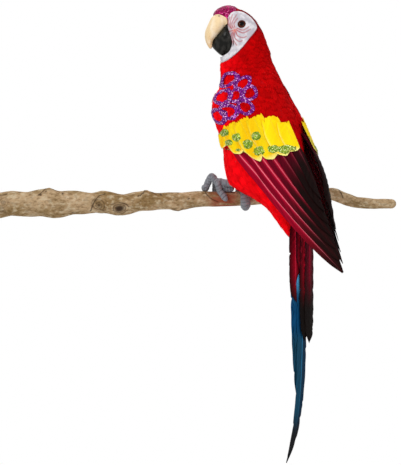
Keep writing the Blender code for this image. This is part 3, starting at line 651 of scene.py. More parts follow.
def welded(piece, gap, then=None):
    """Joins the corners that meet, then runs one more edit-mode operator on them all."""
    hold(piece)
    bpy.ops.object.mode_set(mode="EDIT")
    bpy.ops.mesh.select_all(action="SELECT")
    bpy.ops.mesh.remove_doubles(threshold=gap)
    if then:
        then()
    bpy.ops.object.mode_set(mode="OBJECT")


def grid_piece(columns, rows):
    """A flat primitive grid with its UV map, its corners read as shares 0 to 1."""
    bpy.ops.object.select_all(action="DESELECT")
    bpy.ops.mesh.primitive_grid_add(
        x_subdivisions=columns, y_subdivisions=rows, size=2, calc_uvs=True
    )
    made = bpy.context.active_object
    places = [((v.co.x + 1) / 2, (v.co.y + 1) / 2) for v in made.data.vertices]
    return made, places


def give_numbers(piece, name, values):
    attribute = piece.data.attributes.new(name, "FLOAT", "POINT")
    attribute.data.foreach_set("value", values)


def give_colours(piece, name, colours):
    attribute = piece.data.attributes.new(name, "FLOAT_COLOR", "POINT")
    flat = [number for colour in colours for number in (*colour, 1.0)]
    attribute.data.foreach_set("color", flat)


def apply_modifier(piece, kind, **settings):
    hold(piece)
    modifier = piece.modifiers.new(kind.title(), kind)
    for name, value in settings.items():
        setattr(modifier, name, value)
    bpy.ops.object.modifier_apply(modifier=modifier.name)


def tree_of(*names):
    """A search tree over the triangles of several CAD nodes."""
    corners, faces = [], []
    for name in names:
        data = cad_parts[name].data
        start = len(corners)
        corners += [vertex.co.copy() for vertex in data.vertices]
        faces += [[start + index for index in face.vertices] for face in data.polygons]
    return BVHTree.FromPolygons(corners, faces)


# ---- Long feathers


def lattice(place, front, rear, rows, columns):
    """Points and normals of a feather's face at a coarse grid, to be smoothed."""
    table = []
    for r in range(rows):
        s = r / (rows - 1)
        line = []
        for c in range(columns):
            across = 2 * c / (columns - 1) - 1
            reach = rear(s) if across > 0 else front(s)
            point, normal = place(s, across * reach)
            line.append((*point, *normal))
        table.append(line)
    return table


def from_lattice(table, s, u):
    line = [
        along_rows([row[c] for row in table], s * (len(table) - 1))
        for c in range(len(table[0]))
    ]
    numbers = along_rows(line, u * (len(line) - 1))
    return Vector(numbers[:3]), Vector(numbers[3:]).normalized()


def make_plume(name, node_name, slot, finish, place, front, rear, feather_colour, **shape):
    """A long feather: a vane with splits along its edges and a raised shaft."""
    rows, columns = shape.get("rows", 72), shape.get("columns", 14)
    splits, depth = shape.get("splits", 6), shape.get("depth", 0.22)
    ridge, fray = shape.get("ridge", 0.0009), shape.get("fray", 0.0)
    table = lattice(place, front, rear, 15, 7)
    piece, places = grid_piece(columns, rows)
    cuts = [
        (draw.uniform(0.25, 0.97), draw.choice((-1, 1)), draw.uniform(0.3, 1.0) * depth)
        for _ in range(splits)
    ]
    wave = draw.uniform(0, 10)
    colours = []
    for vertex, (u, v) in zip(piece.data.vertices, places):
        across = 2 * u - 1
        narrow = 1.0
        for where, side, bite in cuts:
            slanted = v - where - 0.03 * abs(across)
            if across * side > 0 and slanted > 0:
                narrow = min(narrow, 1 - bite * math.exp(-slanted / 0.018))
        across *= narrow
        if fray:
            hair = uneven_at(across * 9, wave, 0.0)
            v += fray * hair * (abs(2 * v - 1) ** 3) * (1.6 if v < 0.5 else 0.7)
        point, normal = from_lattice(table, v, (across + 1) / 2)
        shaft = bell(across, 0.07) * ridge * (1 - 0.7 * v)
        ripple = 0.00025 * math.sin(v * 60 + wave + abs(across) * 5) * abs(across)
        vertex.co = point + normal * (0.0003 + shaft + ripple)
        colours.append(feather_colour(v, across))
    bright, dull_from = shape.get("shaft", (1.0, 0.9))
    light = [bright * (1 - smooth_step(dull_from - 0.35, dull_from, v)) for _, v in places]
    give_colours(piece, "feather_colour", colours)
    give_numbers(piece, "tint", [draw.random()] * len(colours))
    give_numbers(piece, "shaft", light)
    apply_modifier(piece, "SOLIDIFY", thickness=0.0003, offset=-1.0)
    keep(piece, finish, name, slot, *([node_name] if node_name else []))


CRIMSON = (0.26, 0.001, 0.014)
WINE = (0.06, 0.0008, 0.008)
SOOT = (0.006, 0.0035, 0.003)
SHAFT_GLOW = (0.66, 0.006, 0.045)
LEMON = (0.89, 0.64, 0.004)
AMBER = (0.88, 0.4, 0.001)
# Pale blue of the painted highlight on the blue tail feathers
BLUE_PAINTED_HIGHLIGHT = (0.1, 0.42, 0.72)

flight_finish = feather_finish("flight_dye", 150.0, 26.0, 0.085, (0.9, 0.2, 0.26), 0.6, 0.7)
covert_finish = feather_finish("covert_dye", 46.0, 15.0, 0.03, (0.85, 0.6, 0.03), 0.6, 0.28)
tail_finish = feather_finish("tail_dye", 190.0, 22.0, 0.14, (0.6, 0.02, 0.055), 0.6, 0.6)
tail_blue_finish = feather_finish(
    "tail_blue_dye_and_painted_highlight", 190.0, 22.0, 0.1, (0.04, 0.24, 0.48), 0.55, 0.6
)


# How bright each flight feather's shaft is, and where along it turns dull
SHAFT_LIGHT = (
    (0.75, 1.05), (0.9, 0.92), (0.55, 0.85), (0.45, 0.75), (0.15, 0.6), (0.1, 0.6), (0.1, 0.6)
)


# The far wing's vanes end a little short of their quills
FAR_WING_REACH = 0.93
# The front vane of a flight feather is the narrower one
FRONT_VANE_SHARE = 0.51


def flight_width(s, full, blunt=5):
    return swelling(s, full, 0.55, 0.25, blunt, 0.7, 0.0012)


def make_flights(side_name, side):
    spacing = 1 / (WING_FEATHERS - 1)
    for number in range(WING_FEATHERS):
        shaft = number * spacing

        def feather_colour(s, across, number=number):
            start = 0.52 - 0.075 * number
            edge = 0.2 * smooth_step(-0.1, 0.9, across)
            share = smooth_step(start, start + 0.42, s + edge)
            rear_vane = smooth_step(0.0, 0.5, across)
            first = mixed(CRIMSON, WINE, 0.25 + 0.13 * number + 0.35 * rear_vane)
            if number == 0:
                first = mixed(CRIMSON, first, smooth_step(-0.6, 0.3, across))
            glow = bell(across, 0.2) * (0.8 if number < 4 else 0.15)
            first = mixed(first, SHAFT_GLOW, glow)
            share *= 1 - 0.45 * glow * (1 - smooth_step(0.55, 0.85, s))
            share *= 0.97 if number else 0.72 + 0.25 * smooth_step(0.55, 0.85, s)
            return mixed(first, SOOT, share)

        def surface(s, v):
            return wing_surface(s * (1.0 if side > 0 else FAR_WING_REACH), v, side)

        make_plume(
            f"{side_name}_flight_plume_{number + 1}",
            f"{side_name}_flight_feather_{number + 1}",
            "flight_maroon",
            flight_finish,
            placed_on(surface, shaft, side, FLIGHT_LEVEL, FLIGHT_PITCH, spacing),
            lambda s: flight_width(s, FLIGHT_HALF_WIDTH * FRONT_VANE_SHARE),
            lambda s, blunt=max(5, 13 - 3 * number): flight_width(s, FLIGHT_HALF_WIDTH, blunt),
            feather_colour,
            shaft=SHAFT_LIGHT[number], depth=0.13,
        )


# How far each vane runs past its quill's own length, front to back
COVERT_GROWTH = (0.94, 1.12, 1.1, 1.05, 1.0, 1.0)


def make_covert_plumes(side_name, side):
    spacing = 1 / (len(COVERTS) - 1)
    for number in range(len(COVERTS)):

        def surface(s, v, grow=COVERT_GROWTH[number]):
            return covert_surface(s * grow, v, side)

        def feather_colour(s, across, number=number):
            swing = 0.5 + 0.5 * math.sin(3 * number + 4 * across + 5 * s)
            body = mixed(LEMON, AMBER, (0.75 - 0.1 * number) * swing)
            rim = max(smooth_step(0.86, 1.0, s), smooth_step(0.8, 1.0, abs(across)) * s)
            return mixed(body, (0.98, 0.93, 0.35), 0.8 * rim)

        make_plume(
            f"{side_name}_covert_plume_{number + 1}",
            f"{side_name}_covert_{number + 1}",
            "covert_yellow",
            covert_finish,
            placed_on(surface, number * spacing, side, COVERT_LEVEL, COVERT_PITCH, spacing),
            covert_width,
            covert_width,
            feather_colour,
            rows=40, columns=16, splits=8, depth=0.14, ridge=0.0004, fray=0.09,
        )


# A dark feather tucked between the two outermost ones
EXTRA_TAIL_FEATHER = (-0.008, -0.0085, -0.236, 0.0125)


BLUE_LAYERS = (3, 4, 5)
RED_LAYERS = (1, 2, 7)
BLUNT_LAYERS = (0, 7)
EXTRA_LAYER = 7
# Which layers are drawn in towards the tip on their right and on their left edge: by how
# much, and between which shares of their length
RIGHT_DRAWN_IN = {2: (0.9, 0.58, 0.78)}
LEFT_DRAWN_IN = {1: (0.75, 0.55, 0.8)}


def tail_edge(layer, width, blunt, drawn_in):
    """The half width of a tail feather on one side, from how its end is cut."""

    def edge(s):
        if blunt:
            return width * (0.75 + 0.25 * smooth_step(0, 0.3, s)) * (1 - s**blunt) ** 0.6
        bite, start, end = drawn_in.get(layer, (0.0, 0.0, 1.0))
        narrow = 1 - bite * smooth_step(start, end, s)
        return swelling(s, width, 0.75, 0.25, 3.2, 0.75, 0.0008) * narrow

    return edge


def make_tail():
    for layer, row in enumerate((*TAIL_FEATHERS, EXTRA_TAIL_FEATHER)):

        def place(s, sideways, row=row, layer=layer):
            height = TAIL_ROOT_HEIGHT + (row[2] - TAIL_ROOT_HEIGHT) * s
            across = row[0] + (row[1] - row[0]) * s**TAIL_SWEEP + sideways
            depth = 0.55 if layer == EXTRA_LAYER else layer
            sink = across**2 / (2 * TAIL_ARCH_RADIUS) + depth * TAIL_LAYER
            point = bird_point(-TAIL_BEHIND + sink, across, height)
            return point, (BODY_LEFT * across / TAIL_ARCH_RADIUS - BODY_AHEAD).normalized()

        def feather_colour(s, across, row=row, layer=layer):
            height = TAIL_ROOT_HEIGHT + (row[2] - TAIL_ROOT_HEIGHT) * s
            if layer in BLUE_LAYERS:
                first = mixed(SOOT, (0.003, 0.052, 0.14), 1 - smooth_step(-0.12, -0.09, height))
                # Painted highlight: a band of light blue across the blue feathers, a little above
                # the middle
                glow = 0.85 * bell(height + 0.138, 0.02)
                first = mixed(first, BLUE_PAINTED_HIGHLIGHT, glow)
                low = mixed((0.007, 0.046, 0.085), first, smooth_step(-0.245, -0.205, height))
                low = mixed(low, (0.004, 0.014, 0.035), 0.8 * smooth_step(0.1, -0.5, across))
                return mixed((0.012, 0.012, 0.013), low, smooth_step(-0.385, -0.34, height))
            red = (0.42 if layer in RED_LAYERS else 0.2, 0.001, 0.014)
            first = mixed(red, (0.018, 0.0006, 0.003), abs(across) ** 0.6)
            return mixed(SOOT, first, smooth_step(-0.19, -0.11, height))

        make_plume(
            f"tail_plume_{layer + 1}",
            f"tail_feather_{layer + 1}" if layer < EXTRA_LAYER else None,
            f"tail_dye_{layer % EXTRA_LAYER + 1}",
            tail_blue_finish if layer in BLUE_LAYERS else tail_finish,
            place,
            tail_edge(layer, row[3], 16 if layer in BLUNT_LAYERS else 0, RIGHT_DRAWN_IN),
            tail_edge(layer, row[3], {0: 10, 7: 10, 2: 12}.get(layer, 0), LEFT_DRAWN_IN),
            feather_colour,
            rows=110, columns=14, splits=16, depth=0.3,
            shaft=(0.5, 0.55) if layer in BLUNT_LAYERS else (0.9, 0.95),
        )


# ---- Short red plumage

plumage_finish = feather_finish(
    "plumage_dye_and_painted_shade", 14.0, 8.0, 0.03, (0.8, 0.004, 0.008), 0.9, 0.38, ragged=True
)

RED_FRONT = (1.0, 0.0015, 0.006)
# The darker red on the back is painted shade
BACK_RED_PAINTED_SHADE = (0.46, 0.0004, 0.001)
CROWN_RED = (0.16, 0.0005, 0.006)


def plumage_red(point, normal):
    """Bright in front and below, with painted shade darkening the back, and deeper red over the
    crown.
    """
    height = point.z - PERCH
    # Painted shade: the red darkens on the side facing back, less so low on the body
    back = smooth_step(-0.5, 0.6, -normal.dot(BODY_AHEAD))
    back *= 0.3 + 0.7 * smooth_step(0.06, 0.1, height)
    colour = mixed(RED_FRONT, BACK_RED_PAINTED_SHADE, back)
    behind_skin = smooth_step(0.245, 0.262, height)
    return mixed(colour, CROWN_RED, behind_skin * 0.85)


# Small feathers: where they start and end, how broad each is for its length, how close
# it lies to its neighbour and to the row below, and how many faces it has
PLUMAGE_LOW, PLUMAGE_HIGH = -0.074, 0.2925
LEAF_BREADTH, LEAF_OVERLAP, ROW_OVERLAP = 0.62, 0.62, 0.36
LEAF_COLUMNS, LEAF_ROWS = 2, 4


def leaf_outline():
    """A small feather's corners: its UV place, and how far each is from the middle."""
    corners = []
    for r in range(LEAF_ROWS + 1):
        v = r / LEAF_ROWS
        wide = math.sin(math.pi * min(1.0, 0.25 + 0.62 * v)) ** 0.6
        for c in range(LEAF_COLUMNS + 1):
            u = c / LEAF_COLUMNS
            corners.append((u, v, (2 * u - 1) * wide / 2))
    return corners


def leaf_length(height):
    """Short on the head, longer on the body, longest under the rump."""
    if height < -0.01:
        return 0.024
    return 0.021 - 0.011 * smooth_step(0.14, 0.25, height)


def leaf_heading(level, normal):
    """A small feather points down, and back over the head, the body and the rump."""
    head = smooth_step(0.21, 0.27, level)
    low = smooth_step(0.03, -0.02, level)
    flow = Vector((0, 0, -1)) - HEAD_AHEAD * (1.6 * head)
    flow -= BODY_AHEAD * (0.35 * (1 - head) + 0.6 * low)
    flow += Vector((draw.uniform(-0.12, 0.12), draw.uniform(-0.12, 0.12), 0))
    return (flow - normal * flow.dot(normal)).normalized()


def covered(covers, start, outward, point):
    """Whether another piece lies over this place, or it belongs to the glitter cap."""
    hidden, _, _, reach = covers.ray_cast(start, -outward)
    if hidden is not None and reach < (point - start).length - 0.0002:
        return True
    from_cap = point - head_point(*CAP_MIDDLE)
    return from_cap.dot(HEAD_AHEAD) > -0.002 and from_cap.z > 0.003


def make_plumage():
    """Small feathers laid over the body and the shoulder pads like shingles."""
    ground = tree_of("body", "left_shoulder_pad", "right_shoulder_pad")
    wings = [
        f"{side_name}_{kind}_{number + 1}"
        for kind, count in (("covert", len(COVERTS)), ("flight_feather", WING_FEATHERS))
        for side_name, _ in SIDES
        for number in range(count)
    ]
    covers = tree_of(
        "left_face_skin", "right_face_skin", "upper_beak", "lower_beak", "forehead_glitter", *wings
    )
    leaf = leaf_outline()
    corners, faces, uvs, colours, tints = [], [], [], [], []
    height = PLUMAGE_LOW
    row_index = 0
    while height < PLUMAGE_HIGH:
        length = leaf_length(height)
        core, forward, left = body_section(height)
        around = math.pi * (forward.length + left.length)
        width = length * LEAF_BREADTH
        count = max(5, int(around / (width * LEAF_OVERLAP)))
        for index in range(count):
            angle = math.tau * (index + 0.5 * (row_index % 2) + draw.uniform(-0.2, 0.2)) / count
            level = height + draw.uniform(-0.0015, 0.0015)
            outward = (-forward * math.cos(angle) + left * math.sin(angle)).normalized()
            middle = Vector((core.x, core.y, PERCH + level))
            start = middle + outward * 0.12
            point, normal, _, _ = ground.ray_cast(start, -outward)
            if point is None or covered(covers, start, outward, point):
                continue
            flow = leaf_heading(level, normal)
            across = normal.cross(flow)
            size = draw.uniform(0.85, 1.15)
            tint = draw.random()
            raised = draw.uniform(0.0006, 0.0014)
            base = len(corners)
            for u, v, x in leaf:
                aim = point + flow * (v * length * size) + across * (x * width * size)
                near, face_normal, _, _ = ground.find_nearest(aim)
                cup = raised * (0.35 + v) - 0.0016 * x * x * v
                corners.append(near + face_normal * (0.0002 + cup))
                uvs.append((u, v))
                # This colour carries the painted shade on the back
                colours.append(plumage_red(near, face_normal))
                tints.append(tint)
            across_row = LEAF_COLUMNS + 1
            for r in range(LEAF_ROWS):
                for c in range(LEAF_COLUMNS):
                    a = base + r * across_row + c
                    faces.append((a, a + 1, a + across_row + 1, a + across_row))
        height += length * ROW_OVERLAP
        row_index += 1
    piece = built("plumage", corners, faces)
    layer = piece.data.uv_layers.new(name="UVMap")
    for loop in piece.data.loops:
        layer.data[loop.index].uv = uvs[loop.vertex_index]
    give_colours(piece, "feather_colour", colours)
    give_numbers(piece, "tint", tints)
    give_numbers(piece, "shaft", [0.4] * len(tints))
    keep(piece, plumage_finish, "plumage", "red_hackle")


def down_finish():
    made, tree, shader = new_finish("down_under_plumage", 0.9, Specular_IOR_Level=0.05)
    soft = group(tree, MOTTLE, Broad=60.0, Fine=900.0, Stretch=(1.0, 1.0, 0.35))
    painted(
        tree, shader, (0.3, 0.002, 0.006),
        (soft["Fine"], (0.72, 0.006, 0.012)),
        # The plumage colour here carries the painted shade on the back
        (0.6, told(tree, "feather_colour", "Color")),
    )
    bumped(tree, shader, soft["Fine"], 0.0008)
    return made


def copy_of(node_name):
    """A joined, smooth copy of a CAD node's mesh."""
    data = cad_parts[node_name].data.copy()
    data.materials.clear()
    piece = stood(node_name + "_copy", data)
    welded(piece, 0.00001, bpy.ops.mesh.tris_convert_to_quads)
    return piece


def make_down():
    finish = down_finish()
    for name, node_name, slot in (
        ("body_down", "body", "red_hackle"),
        ("left_shoulder_down", "left_shoulder_pad", "shoulder_red"),
        ("right_shoulder_down", "right_shoulder_pad", "shoulder_red"),
    ):
        piece = copy_of(node_name)
        apply_modifier(piece, "SUBSURF", levels=1, render_levels=1)
        for vertex in piece.data.vertices:
            wave = noise.noise(vertex.co * 150.0)
            vertex.co += vertex.normal * (0.00025 * wave - 0.0001)
        # This colour carries the painted shade on the back
        give_colours(piece, "feather_colour", [plumage_red(v.co, v.normal) for v in piece.data.vertices])
        keep(piece, finish, name, slot, node_name)


# ---- Head


def cheek_finish():
    made, tree, shader = new_finish("cheek_felt", 0.8, Sheen_Weight=0.1)
    soft = group(tree, MOTTLE, Broad=90.0, Fine=1500.0)
    paint = told(tree, "paint")
    uneven = ramp(tree, soft["Broad"], 0.35, 0.65)
    colour = blended(tree, uneven, (0.76, 0.73, 0.76), (0.5, 0.47, 0.52))
    painted(
        tree, shader, colour,
        (told(tree, "edge"), (0.42, 0.22, 0.26)),
        (times(tree, paint, ramp(tree, soft["Fine"], 0.15, 0.42)), (0.44, 0.05, 0.06)),
        (told(tree, "spot"), (0.72, 0.13, 0.07)),
    )
    height = maths(tree, "ADD", soft["Fine"], times(tree, paint, 0.8))
    bumped(tree, shader, height, 0.0004)
    return made


def line_distance(place, line):
    best = 1e9
    for (x1, y1), (x2, y2) in zip(line, line[1:]):
        dx, dy = x2 - x1, y2 - y1
        t = ((place[0] - x1) * dx + (place[1] - y1) * dy) / (dx * dx + dy * dy)
        t = min(1.0, max(0.0, t))
        best = min(best, math.hypot(place[0] - x1 - t * dx, place[1] - y1 - t * dy))
    return best


def smooth_line(points):
    steps = 6 * (len(points) - 1)
    return [along_rows(points, step / 6) for step in range(steps + 1)]


def make_cheeks():
    finish = cheek_finish()
    ground = tree_of("body")
    lines = [smooth_line(line) for line in CHEEK_LINES]
    for side_name, side in SIDES:
        piece, places = grid_piece(60, 120)
        paint, spots, edges = [], [], []
        for vertex, (u, v) in zip(piece.data.vertices, places):
            front = along_rows(SKIN_FRONT, v * (len(SKIN_FRONT) - 1))
            rear = along_rows(SKIN_REAR, v * (len(SKIN_REAR) - 1))
            forward, height = mixed(front, rear, u)
            start = head_point(forward, height, side * 0.1)
            middle = head_point(forward, height)
            point, normal, _, _ = ground.ray_cast(start, -HEAD_LEFT * side)
            if point is None:
                near, _, _, _ = ground.find_nearest(middle)
                ahead = (middle - near).length
                point = middle + HEAD_LEFT * side * max(0.0006, CHIN_HALF_WIDTH - 0.7 * ahead)
                normal = HEAD_LEFT * side
            elif (point - middle).dot(HEAD_LEFT) * side < CHIN_HALF_WIDTH:
                point = middle + HEAD_LEFT * side * CHIN_HALF_WIDTH
            border = min(u * 50, (1 - u) * 50, v * 110, (1 - v) * 110)
            vertex.co = point + normal * (FELT_LIFT if border > 0.5 else 0.0004)
            place = ((EYE_FORWARD - forward) * 1000, (height - EYE_HEIGHT) * 1000)
            nearest = min(line_distance(place, line) for line in lines)
            away = math.hypot(place[0] - CHEEK_SPOT[0], place[1] - CHEEK_SPOT[1])
            paint.append(bell(nearest, 0.85) * (1 - 0.3 * min(1, away / 26)))
            spots.append(bell(away, 3.0) * 0.85)
            edges.append(bell(border, 1.1))
        for name, values in (("paint", paint), ("spot", spots), ("edge", edges)):
            give_numbers(piece, name, values)
        apply_modifier(piece, "SOLIDIFY", thickness=0.0005, offset=-1.0)
        keep(piece, finish, f"{side_name}_cheek", "bare_skin", f"{side_name}_face_skin")


def eye_finish():
    made, tree, shader = new_finish(
        "eye_glass", 0.3, Coat_Weight=0.22, Coat_Roughness=0.03, Specular_IOR_Level=0.0
    )
    out = told(tree, "out")
    rays = group(tree, MOTTLE, Broad=900.0, Fine=1800.0)
    iris = blended(tree, rays["Broad"], (0.04, 0.006, 0.002), (0.105, 0.022, 0.008))
    painted(
        tree, shader, (0.002, 0.001, 0.001),
        (ramp(tree, out, 0.44, 0.66), iris),
        (ramp(tree, out, 0.86, 0.97), (0.012, 0.004, 0.003)),
    )
    return made


def make_eyes():
    """A glass dome set in each cheek."""
    finish = eye_finish()
    ground = tree_of("body")
    for side_name, side in SIDES:
        start = head_point(EYE_FORWARD, EYE_HEIGHT, side * 0.1)
        hit, normal, _, _ = ground.ray_cast(start, -HEAD_LEFT * side)
        centre = hit + normal * (EYE_TOP - EYE_RADIUS)
        bpy.ops.object.select_all(action="DESELECT")
        bpy.ops.mesh.primitive_uv_sphere_add(
            segments=48, ring_count=32, radius=EYE_RADIUS, location=centre
        )
        piece = bpy.context.active_object
        bpy.ops.object.transform_apply(location=True, rotation=True, scale=True)
        bpy.ops.object.mode_set(mode="EDIT")
        bpy.ops.mesh.select_all(action="SELECT")
        cut = hit + normal * 0.0004
        bpy.ops.mesh.bisect(plane_co=cut, plane_no=normal, clear_inner=True, use_fill=True)
        bpy.ops.object.mode_set(mode="OBJECT")
        out = []
        for vertex in piece.data.vertices:
            vertex.co -= normal * (vertex.co - hit).dot(normal) * EYE_FLATTENING
            away = vertex.co - centre
            level = away - normal * away.dot(normal)
            out.append(level.length / EYE_RADIUS)
        give_numbers(piece, "out", out)
        keep(piece, finish, f"{side_name}_eye_dome", "eye", f"{side_name}_eye")


# Beaks from the root to the tip: outer edge ahead of the neck, its height, inner
# edge ahead, its height, half width
UPPER_HORN = (
    (0.0417, 0.28, 0.0309, 0.2747, 0.014), (0.0489, 0.2791, 0.0285, 0.2695, 0.018),
    (0.0539, 0.276, 0.0291, 0.2638, 0.019), (0.0578, 0.2691, 0.033, 0.2592, 0.0188),
    (0.0614, 0.2612, 0.0371, 0.2543, 0.0178), (0.0643, 0.2533, 0.0421, 0.2485, 0.016),
    (0.0651, 0.2461, 0.0467, 0.2434, 0.0135), (0.0641, 0.2389, 0.0506, 0.2391, 0.0105),
    (0.0615, 0.2322, 0.0523, 0.2336, 0.0075), (0.0582, 0.227, 0.0528, 0.2289, 0.0048),
    (0.0558, 0.2256, 0.0546, 0.2254, 0.0012),
)
LOWER_HORN = (
    (0.0289, 0.2632, 0.0301, 0.2646, 0.004), (0.0243, 0.2557, 0.0341, 0.2606, 0.013),
    (0.0209, 0.2471, 0.0384, 0.2557, 0.018), (0.0184, 0.2382, 0.0434, 0.25, 0.019),
    (0.0195, 0.2289, 0.0485, 0.2448, 0.0172), (0.0255, 0.221, 0.0522, 0.2403, 0.014),
    (0.0367, 0.2145, 0.0538, 0.235, 0.0095), (0.0485, 0.2224, 0.0542, 0.2296, 0.004),
)


def cream_horn_finish():
    made, tree, shader = new_finish("cream_horn", 0.42, Coat_Weight=0.12, Coat_Roughness=0.35)
    streaks = group(tree, MOTTLE, Broad=110.0, Fine=700.0, Stretch=(1.0, 1.0, 0.3))
    parts = parts_of(tree, place_in(tree, "Object"))
    down = ramp(tree, parts["Z"], PERCH + 0.225, PERCH + 0.262)
    colour = blended(tree, down, (0.74, 0.52, 0.28), (0.84, 0.64, 0.38))
    painted(
        tree, shader, colour,
        (times(tree, ramp(tree, streaks["Broad"], 0.42, 0.66), 0.7), (0.92, 0.8, 0.62)),
        (times(tree, ramp(tree, streaks["Fine"], 0.6, 0.72), 0.45), (0.52, 0.34, 0.18)),
        (told(tree, "edge"), (0.6, 0.42, 0.24)),
        (told(tree, "spot"), (0.03, 0.012, 0.01)),
    )
    height = maths(tree, "ADD", streaks["Broad"], times(tree, streaks["Fine"], 0.25))
    bumped(tree, shader, height, 0.0012, 0.7)
    return made


def black_horn_finish():
    made, tree, shader = new_finish(
        "black_horn", 0.35, Coat_Weight=0.12, Coat_Roughness=0.22, Specular_IOR_Level=0.1
    )
    streaks = group(tree, MOTTLE, Broad=150.0, Fine=900.0, Stretch=(1.0, 1.0, 0.5))
    worn = ramp(tree, streaks["Broad"], 0.4, 0.62)
    painted(tree, shader, (0.004, 0.004, 0.003), (worn, (0.022, 0.021, 0.018)))
    bumped(tree, shader, streaks["Broad"], 0.0018, 0.8)
    return made


def make_horn(name, table, finish, slot, node_name):
    """One half of the beak, its skin run round sections from the root to the tip."""
    piece, places = grid_piece(44, 60)
    edges, spots = [], []
    nostril = head_point(*NOSTRIL)
    face = tree_of("body")
    for vertex, (u, v) in zip(piece.data.vertices, places):
        row = along_rows(table, v * (len(table) - 1))
        outer, inner = head_point(row[0], row[1]), head_point(row[2], row[3])
        middle = outer.lerp(inner, 0.5)
        close = min(1.0, v * 40, (1 - v) * 12) ** 0.5
        turn = math.tau * u
        side = math.copysign(abs(math.sin(turn)) ** 0.85, math.sin(turn))
        bow = 1 - 0.1 * math.sin(turn) ** 2
        ripple = 1 + 0.012 * math.sin(v * 34) * (1 - v)
        point = middle + (outer - middle) * math.cos(turn) * bow * close
        point += HEAD_LEFT * row[4] * side * close * ripple
        if abs(side) > 0.04:
            hand = math.copysign(1.0, side)
            beside = (point - middle).dot(HEAD_LEFT) * hand
            level = point - HEAD_LEFT * (point - middle).dot(HEAD_LEFT)
            skin, _, _, _ = face.ray_cast(level + HEAD_LEFT * hand * 0.1, -HEAD_LEFT * hand)
            if skin is not None:
                out = (skin - level).dot(HEAD_LEFT) * hand + HORN_CLEARANCE
                if out > beside:
                    point = level + HEAD_LEFT * hand * out
        grain = noise.noise(point * 260.0)
        away = Vector((point.x - nostril.x, 0, (point.z - nostril.z) * 1.3)).length
        dent = bell(away, 0.0012)
        vertex.co = point + (point - middle).normalized() * (0.0002 * grain - 0.0006 * dent)
        spots.append(dent)
        edges.append(max(0.0, -math.cos(turn)) ** 6 * 0.8)
    give_numbers(piece, "spot", spots)
    give_numbers(piece, "edge", edges)
    welded(piece, 0.00002, bpy.ops.mesh.normals_make_consistent)
    keep(piece, finish, name, slot, node_name)


def glitter_finish(name, **flake_values):
    made, tree, shader = new_finish(name, 0.35, Specular_IOR_Level=0.1)
    flakes = group(tree, GLITTER, **flake_values)
    painted(tree, shader, flakes["Color"])
    for label in ("Metallic", "Normal"):
        tree.links.new(flakes[label], shader.inputs[label])
    return made


def make_cap():
    """Pink glitter pressed into glue over the forehead, down to beak and cheeks."""
    finish = glitter_finish(
        "pink_glitter_flakes", Scale=760.0, Dark=(0.14, 0.001, 0.03),
        Mid=(0.38, 0.003, 0.105), Spark=(0.92, 0.16, 0.44), Sparks=0.06,
    )
    ground = tree_of("body")
    centre = head_point(*CAP_MIDDLE)
    piece, places = grid_piece(56, 48)
    for vertex, (u, v) in zip(piece.data.vertices, places):
        across = 2 * u - 1
        rim = uneven_at(across * 5, v * 5, 2.0)
        rise = math.radians(4 + (94 + 6 * rim) * v)
        spread = math.radians(80 - 30 * v) * (1 - 0.12 * abs(2 * v - 1) ** 4)
        turn = across * spread
        direction = HEAD_AHEAD * math.cos(rise) * math.cos(turn) + HEAD_LEFT * math.sin(turn)
        direction += Vector((0, 0, math.sin(rise) * math.cos(turn)))
        direction.normalize()
        point, normal, _, _ = ground.ray_cast(centre + direction * 0.1, -direction)
        border = smooth_step(0.0, 0.1, min(u, 1 - u, v, 1 - v))
        grain = noise.noise(point * 1100.0)
        vertex.co = point + normal * (0.0003 + border * (0.0009 + 0.0003 * grain))
    apply_modifier(piece, "SOLIDIFY", thickness=0.0004, offset=-1.0)
    keep(piece, finish, "forehead_flakes", "pink_glitter", "forehead_glitter")


def make_rings():
    """Rings of glitter glue, drawn by hand over the shoulder feathers."""
    finish = glitter_finish(
        "purple_glitter_flakes", Scale=620.0, Dark=(0.085, 0.003, 0.1),
        Mid=(0.22, 0.012, 0.29), Spark=(0.8, 0.4, 0.78), Sparks=0.15,
    )
    count, steps = 56, 9
    for side_name, side in SIDES:
        corners, faces = [], []
        for number, (across, height, stretch) in enumerate(RINGS):
            base = len(corners)
            for i in range(count):
                angle = math.tau * i / count
                shake = uneven_at(number * 3.1, angle * 1.7, 0.0)
                wobble = 1 + 0.06 * math.sin(3 * angle + number) + 0.05 * shake
                swell = uneven_at(angle * 2.4, number, 5.0)
                thick = 1.1 * RING_WIDTH * (1.0 + 0.45 * swell)
                for step in range(steps):
                    turn = math.pi * step / (steps - 1)
                    reach = RING_RADIUS * wobble - thick / 2 * math.cos(turn)
                    x = across + reach * stretch * math.cos(angle)
                    y = height + reach * math.sin(angle)
                    grain = uneven_at(x * 900, y * 900, number) * 0.0005
                    bend = RING_ANGLE + math.degrees(x / RING_BEND_RADIUS)
                    stand = pad_offset(y, bend) + 0.0009 + 0.0016 * math.sin(turn)
                    stand += grain if 0 < step < steps - 1 else 0
                    corners.append(body_point(y, bend, side, stand))
            for i in range(count):
                row, after = base + i * steps, base + (i + 1) % count * steps
                for step in range(steps):
                    over = (step + 1) % steps
                    faces.append((row + step, row + over, after + over, after + step))
        piece = built("rings", corners, faces)
        mesh = bmesh.new()
        mesh.from_mesh(piece.data)
        bmesh.ops.recalc_face_normals(mesh, faces=mesh.faces)
        mesh.to_mesh(piece.data)
        mesh.free()
        node_name = f"{side_name}_glitter_rings"
        keep(piece, finish, f"{side_name}_ring_flakes", "purple_glitter", node_name)


# ---- Feet

TOE_RADIUS = 0.0047
LEG_RADIUS = 0.0046
CLAW_SHARE = 0.78


def tape_finish():
    made, tree, shader = new_finish("cloth_tape", 0.7, Sheen_Weight=0.15)
    weave = group(tree, MOTTLE, Broad=260.0, Fine=1800.0)
    painted(
        tree, shader, (0.13, 0.14, 0.16),
        (weave["Broad"], (0.3, 0.31, 0.34)),
        (told(tree, "wrap"), (0.07, 0.07, 0.08)),
    )
    bumped(tree, shader, weave["Fine"], 0.0004)
    return made


